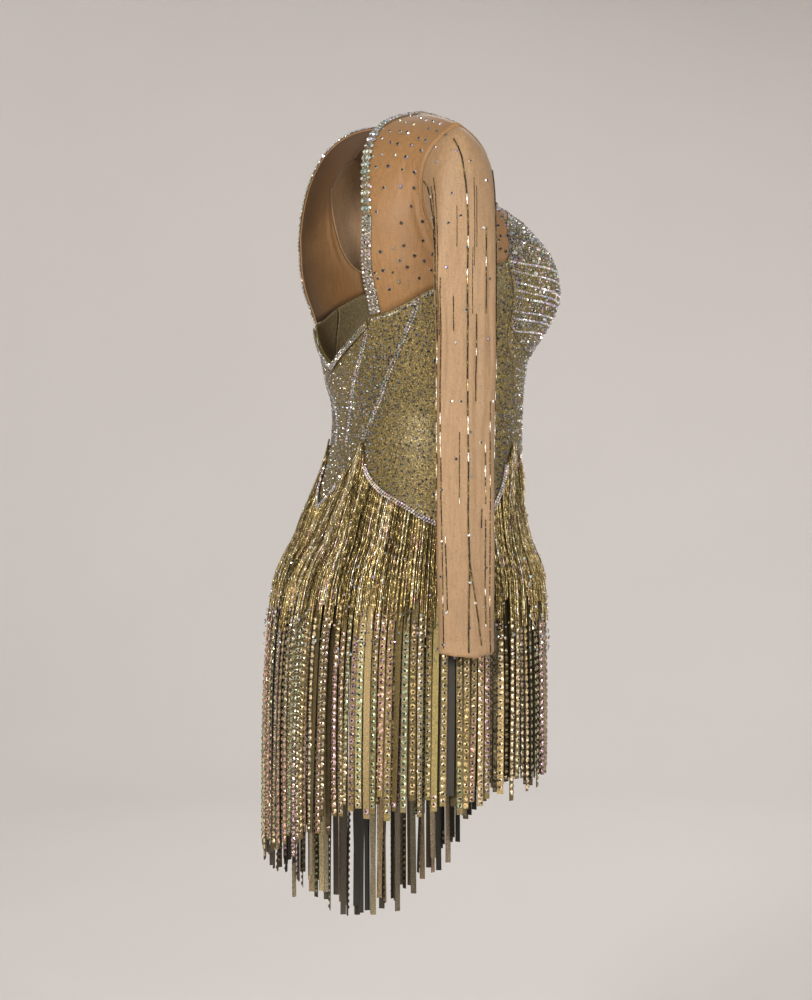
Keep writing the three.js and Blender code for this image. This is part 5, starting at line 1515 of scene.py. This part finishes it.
def fringe(name, a0, a1):
    arc = np.linalg.norm(np.diff(fringe_form(np.linspace(a0, a1, 300), np.full(300, -640.0)), axis=0), axis=-1)
    s = np.concatenate([[0], np.cumsum(arc)])
    V, F_face, F_back, F_edge, cf, cb, edge_painted_shade = [], [], [], [], [], [], []
    SC, SN_, ST, SR, STint, SD, SLay = [], [], [], [], [], [], []
    count = 0
    far = 225 <= a0 < 315
    for layer, pitch, depth in ((0, 7.75, 0.9), (1, 7.9, 4.6)):
        n = int(round(s[-1] / pitch))
        at = (np.arange(n) + 0.5 + (0.5 if layer else 0)) * s[-1] / n
        at = at[at < s[-1] - 2]
        at = at + rng.normal(0, 0.55, len(at))
        angs = np.interp(np.clip(at, 3.4, s[-1] - 3.4), s, np.linspace(a0, a1, 300))
        for i, a in enumerate(angs):
            if rng.random() < (0.04 if layer == 0 else 0.14 if far else 0.04):
                continue
            hz = float(hem(a % 360))
            ragged = rng.normal(0, 8.5 if far else 6.5) - abs(rng.normal(0, 3.0)) * (i % 2)
            hz = hz + ragged + (12 * rng.random() if layer else 0)
            hz = min(max(hz, -872.0), -560)
            z0 = -474.0 - rng.uniform(0, 5)
            m = max(8, int((z0 - hz) / 16))
            z = np.linspace(z0, hz, m + 1)
            drift = rng.normal(0, 0.22) * (1 + 0.9 * np.clip((-z - 600) / 200, 0, 1.3))
            sway = drift * np.clip((-z - 560) / 120, 0, 2) + 0.07 * np.sin(z * 0.02 + rng.uniform(0, 6.28))
            aa = a + sway
            yaw0 = rng.normal(0, 14 if layer == 0 and not far else 24)
            if rng.random() < (0.09 if layer == 0 and not far else 0.34):
                yaw0 += rng.choice([-1, 1]) * rng.uniform(28, 66)
            turned = rng.random() < (0.04 if layer == 0 else 0.14)
            yaw = np.radians(yaw0 + rng.normal(0, 6) * np.sin((z - z0) / 130 + rng.uniform(0, 3)))
            zf = np.minimum(z, -466)
            P = fringe_form(aa, zf)
            n2 = outward(aa, zf, fringe_form)
            n2[:, 2] = 0
            n2 = unit(n2)
            P[:, 2] = z
            dep = depth + (0.55 if i % 2 else -0.25) * (0.6 if layer else 1)
            dep = dep + 0.5 * np.sin(z * 0.017 + i)
            t2 = np.stack([-n2[:, 1], n2[:, 0], 0 * n2[:, 0]], 1)
            N = n2 * np.cos(yaw)[:, None] + t2 * np.sin(yaw)[:, None]
            T = np.stack([-N[:, 1], N[:, 0], 0 * N[:, 0]], 1)
            P = P - n2 * dep[:, None] if np.ndim(dep) else P - n2 * dep
            wdt = STRIP_W * rng.uniform(0.9, 1.0) / 2
            outer_n = -N if turned else N
            ring = np.stack([P - T * wdt + outer_n * 0, P + T * wdt, P + T * wdt - N * STRIP_T, P - T * wdt - N * STRIP_T], 1)
            V.append(ring.reshape(-1, 3))
            k = count + np.arange(m)[:, None] * 4
            q = lambda i0, i1: np.concatenate([k + i0, k + i1, k + 4 + i1, k + 4 + i0], 1)
            front, back = q(0, 1), q(2, 3)
            edge = np.concatenate([q(1, 2), q(3, 0), [[count, count + 3, count + 2, count + 1]], [[count + 4 * m, count + 4 * m + 1, count + 4 * m + 2, count + 4 * m + 3]]])
            # strips of the under layer are painted darker, 0.12-0.4 against 0.5-1.1, as painted shade inside the fringe
            tone = (rng.uniform(0.5, 1.1) if layer == 0 else rng.uniform(0.12, 0.4)) * np.array([1.0, rng.uniform(0.95, 1.05), rng.uniform(0.85, 1.15)])
            # strip backs get random tones; the darkest choices paint the shade inside the fringe
            back_tone_and_painted_shade = rng.choice([0.08, 0.25, 0.6, 1.1, 1.7], p=[0.3, 0.22, 0.2, 0.16, 0.12]) * np.array([1.0, rng.uniform(0.92, 1.04), rng.uniform(0.8, 1.1)])
            if turned:
                F_face.append(back)
                F_back.append(front)
            else:
                F_face.append(front)
                F_back.append(back)
            F_edge.append(edge)
            cf.append(np.tile(tone, (m, 1)))
            cb.append(np.tile(back_tone_and_painted_shade, (m, 1)))
            # strip edges painted at 0.12 of the face tone: painted shade in the gaps between strips
            edge_painted_shade.append(np.tile(tone * 0.12, (len(edge), 1)))
            count += 4 * (m + 1)
            # a close column of stones from where the strands end
            zs0 = -478 - rng.uniform(0, 56) if layer == 0 else -548
            bare = rng.random() < (0.035 if layer == 0 else 0.2)
            if bare:
                zs0 = hz + STONE_PITCH * rng.integers(0, 3)
            zz = np.arange(zs0, hz + 2.5, -STONE_PITCH * rng.uniform(0.97, 1.03))
            if len(zz):
                Pi = np.stack([np.interp(-zz, -z, P[:, c]) for c in range(2)] + [zz], 1)
                Ni = unit(np.stack([np.interp(-zz, -z, N[:, c]) for c in range(3)], 1))
                if turned:
                    Pi, Ni = Pi - Ni * STRIP_T, -Ni
                kk = len(zz)
                SC.append(Pi)
                SN_.append(Ni)
                ST.append(np.tile([0, 0, -1.0], (kk, 1)))
                SR.append(np.full(kk, STONE_R) * rng.uniform(0.95, 1.02))
                # neighbours on a strip share a tint that drifts along it
                w = np.array((3.2, 2.2, 1.2, 2.0, 1.6, 1.4, 2.2, 1.8))
                c1, c2 = STRIP_TINTS[rng.choice(8, p=w / w.sum())], STRIP_TINTS[rng.choice(8, p=w / w.sum())]
                tt = np.clip(0.5 + 0.7 * np.sin(zz * rng.uniform(0.01, 0.03) + rng.uniform(0, 6)), 0, 1)[:, None]
                col = (c1 * tt + c2 * (1 - tt)) * rng.uniform(0.6, 1.6) * rng.uniform(0.8, 1.2, (kk, 1)) * np.array([1.06, 0.98, 0.84])
                # stones on the under layer are painted at 0.3 as painted shade
                STint.append(col * (1.0 if layer == 0 else 0.3))
                SD.append(rng.random(kk) < 0.93)
                SLay.append(np.full(kk, layer))
    obj = build(f"{name}_strips", np.concatenate(V), [
        (np.concatenate(F_face), STRIP, False, np.concatenate(cf)),
        (np.concatenate(F_back), STRIP_BACK, False, np.concatenate(cb)),
        (np.concatenate(F_edge), STRIP, False, np.concatenate(edge_painted_shade))], name)
    C, N, T, R, tint, dark, lay = (np.concatenate(x) for x in (SC, SN_, ST, SR, STint, SD, SLay))
    for part, on in (("outer", lay == 0), ("under", lay == 1)):
        stones(f"{name}_{part}_stones", C[on], N[on], T[on], R[on], 1.75, tint[on], "strips", name, sides=8, pattern=dark[on], tilt=5, ring=0.38, dark_table_reflection=(0.012, 0.009, 0.006),
               facet_reflection=(0.10, 1.0), sink=0.05, crown=part == "outer", hue_mix=0.36 if part == "outer" else 0.0, palette=SPECKLE)
    return obj


for name, a0, a1 in (("fringe_front", -45, 45), ("fringe_right", 45, 135), ("fringe_back", 135, 225), ("fringe_left", 225, 315)):
    fringe(name, a0, a1)


# ------------------------------------------------------------------ stitches
def stitch_line(P, N, length, gap, lift):
    C0, M0, T0, s0 = line_points(P, N, length + gap, start=0.5, lift=lift)
    return C0, C0 + T0 * length, M0


def emit_stitches(name, lines, node_name, colour, w=0.45):
    P0, P1, M = (np.concatenate([l[i] for l in lines]) for i in range(3))
    verts, q, caps = prisms(P0, P1, M, w)
    c = np.tile(np.array(colour), (len(q), 1))
    build(name, verts, [(q, THREAD, True, c), (caps, THREAD, False, np.tile(np.array(colour), (len(caps), 1)))], node_name)


for side, s in sides_of:
    lines = []
    for zc in (-531.5, -534.5):
        S0, SN0 = SLEEVES[side]
        row = int(np.argmin(np.abs(S0[:, half_n // 2, 2] - zc - 4)))
        ring = np.concatenate([S0[row], S0[row][:1]])
        rn = np.concatenate([SN0[row], SN0[row][:1]])
        P0, P1, M = stitch_line(ring, rn, 2.4, 1.0, 0.15)
        if s < 0:
            P0, P1, M = flip_x(P0), flip_x(P1), flip_x(M)
        lines.append((P0, P1, M))
    emit_stitches(f"sleeve_{side}_hem_stitches", lines, f"sleeve_{side}", (0.34, 0.21, 0.11))
lines = []
for f in (0.16, 0.84):
    P, N = at_share(bb_P + bb_N * (LUREX_T + BINDING_LIFT + 1.3), bb_N, f)
    lines.append(stitch_line(P, N, 2.2, 0.9, 0.05))
emit_stitches("back_binding_stitches", lines, "back_binding", (0.42, 0.34, 0.17))

# ------------------------------------------------------------------ the cut of each sheet, m
# width and length of the oblong each piece is cut from, then the piece's own area.
# The gold cloth, hip base and yokes stretch about 6% in area when worn; the sleeves
# hang unstretched, and the bands are cut as long as they show.
CUTS = {
    "cup": (0.215, 0.178, 0.0196, "stretched"), "front_panel": (0.150, 0.166, 0.0150, "stretched"), "side_panel": (0.284, 0.267, 0.0323, "stretched"),
    "back_panel": (0.090, 0.197, 0.0084, "stretched"), "centre_back_panel": (0.150, 0.197, 0.0090, "stretched"), "hip_front": (0.299, 0.201, 0.0452, "stretched"),
    "hip_side_right": (0.285, 0.207, 0.0330, "stretched"), "hip_side_left": (0.285, 0.207, 0.0330, "stretched"), "hip_back": (0.182, 0.207, 0.0238, "stretched"),
    "front_yoke": (0.134, 0.184, 0.0124, "stretched"), "back_yoke": (0.103, 0.255, 0.0171, "stretched"), "sleeve": (0.317, 0.534, 0.0710, "hung"),
    "back_trim": (0.0105, 0.266, 0.00265, "stretched"), "front_trim": (0.0100, 0.126, 0.00071, "stretched"), "neckline_trim": (0.0110, 0.1245, 0.00078, "stretched"),
    "back_binding": (0.0100, 0.199, 0.00147, "stretched")}
for o, name in sheets:
    w, l, area, held = CUTS[name]

# ------------------------------------------------------------------ stage and light
def stage_material():
    m, nt, b = new_mat("studio")
    tc = node(nt, "ShaderNodeTexCoord")
    n = node(nt, "ShaderNodeTexNoise", **{"Scale": 1.4, "Detail": 3.0})
    put(nt, tc.outputs["Object"], n.inputs["Vector"])
    put(nt, ramp(nt, n.outputs[0], [(0.3, (0.755, 0.722, 0.70)), (0.7, (0.775, 0.742, 0.72))]), b.inputs["Base Color"])
    b.inputs["Roughness"].default_value = 0.9
    return m


prof = [(0.0, 0.0), (3.0, 0.0), (4.2, 0.0)]
for i in range(1, 13):
    t = i / 12 * math.pi / 2
    prof.append((4.2 + 1.8 * math.sin(t), 1.8 - 1.8 * math.cos(t)))
prof += [(6.0, 3.2), (6.0, 4.8)]
FLOOR_Z = -1.32
verts, faces, M_ = [], [], 96
for r, z in prof[1:]:
    for k in range(M_):
        t = k / M_ * 2 * math.pi
        verts.append((r * math.cos(t), r * math.sin(t), FLOOR_Z + z))
verts.append((0, 0, FLOOR_Z))
for i in range(len(prof) - 2):
    for k in range(M_):
        k2 = (k + 1) % M_
        faces.append((i * M_ + k, (i + 1) * M_ + k, (i + 1) * M_ + k2, i * M_ + k2))
for k in range(M_):
    faces.append((len(verts) - 1, k, (k + 1) % M_))
me = bpy.data.meshes.new("studio_floor")
me.from_pydata(verts, [], faces)
me.materials.append(stage_material())
for p in me.polygons:
    p.use_smooth = True
floor = bpy.data.objects.new("studio_floor", me)
bpy.context.scene.collection.objects.link(floor)

world = bpy.data.worlds.new("studio")
bpy.context.scene.world = world
world.use_nodes = True
bg = world.node_tree.nodes["Background"]
bg.inputs[0].default_value = (1.0, 0.985, 0.96, 1)
bg.inputs[1].default_value = 0.26


def light(name, az, el, dist, size, watts, colour=(1, 1, 1), at=(0, 0, -0.4)):
    d = bpy.data.lights.new(name, "AREA")
    d.shape = "DISK"
    d.size = size
    d.energy = watts
    d.color = colour
    o = bpy.data.objects.new(name, d)
    bpy.context.scene.collection.objects.link(o)
    a, e = math.radians(az), math.radians(el)
    o.location = Vector((math.sin(a) * math.cos(e), -math.cos(a) * math.cos(e), math.sin(e))) * dist + Vector(at)
    aim(o, at)
    return o


light("key", AZ - 22, 18, 3.0, 0.6, 80, (1.0, 0.965, 0.92))
light("fill", AZ + 42, 10, 3.2, 1.2, 60, (0.97, 0.98, 1.0))
light("top", AZ + 5, 70, 2.6, 1.2, 8, (1.0, 0.98, 0.95))
light("backdrop", AZ + 150, 60, 3.4, 2.0, 60, (1.0, 0.98, 0.96), at=(math.sin(math.radians(AZ)) * -2.2, math.cos(math.radians(AZ)) * 2.2, -0.6))
light("spark_a", AZ - 8, 24, 3.1, 0.10, 9, (1.0, 0.93, 0.82))
light("spark_b", AZ + 24, 40, 3.0, 0.10, 9, (1.0, 0.97, 0.92))
light("spark_c", AZ - 50, 8, 3.0, 0.10, 8, (1.0, 0.9, 0.75))

sc = bpy.context.scene
sc.view_settings.view_transform = "Standard"
sc.view_settings.look = "None"
sc.view_settings.exposure = 0.0

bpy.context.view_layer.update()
print("TRIANGLES", sum(totals.values()), "largest", sorted(totals.items(), key=lambda kv: -kv[1])[:6])
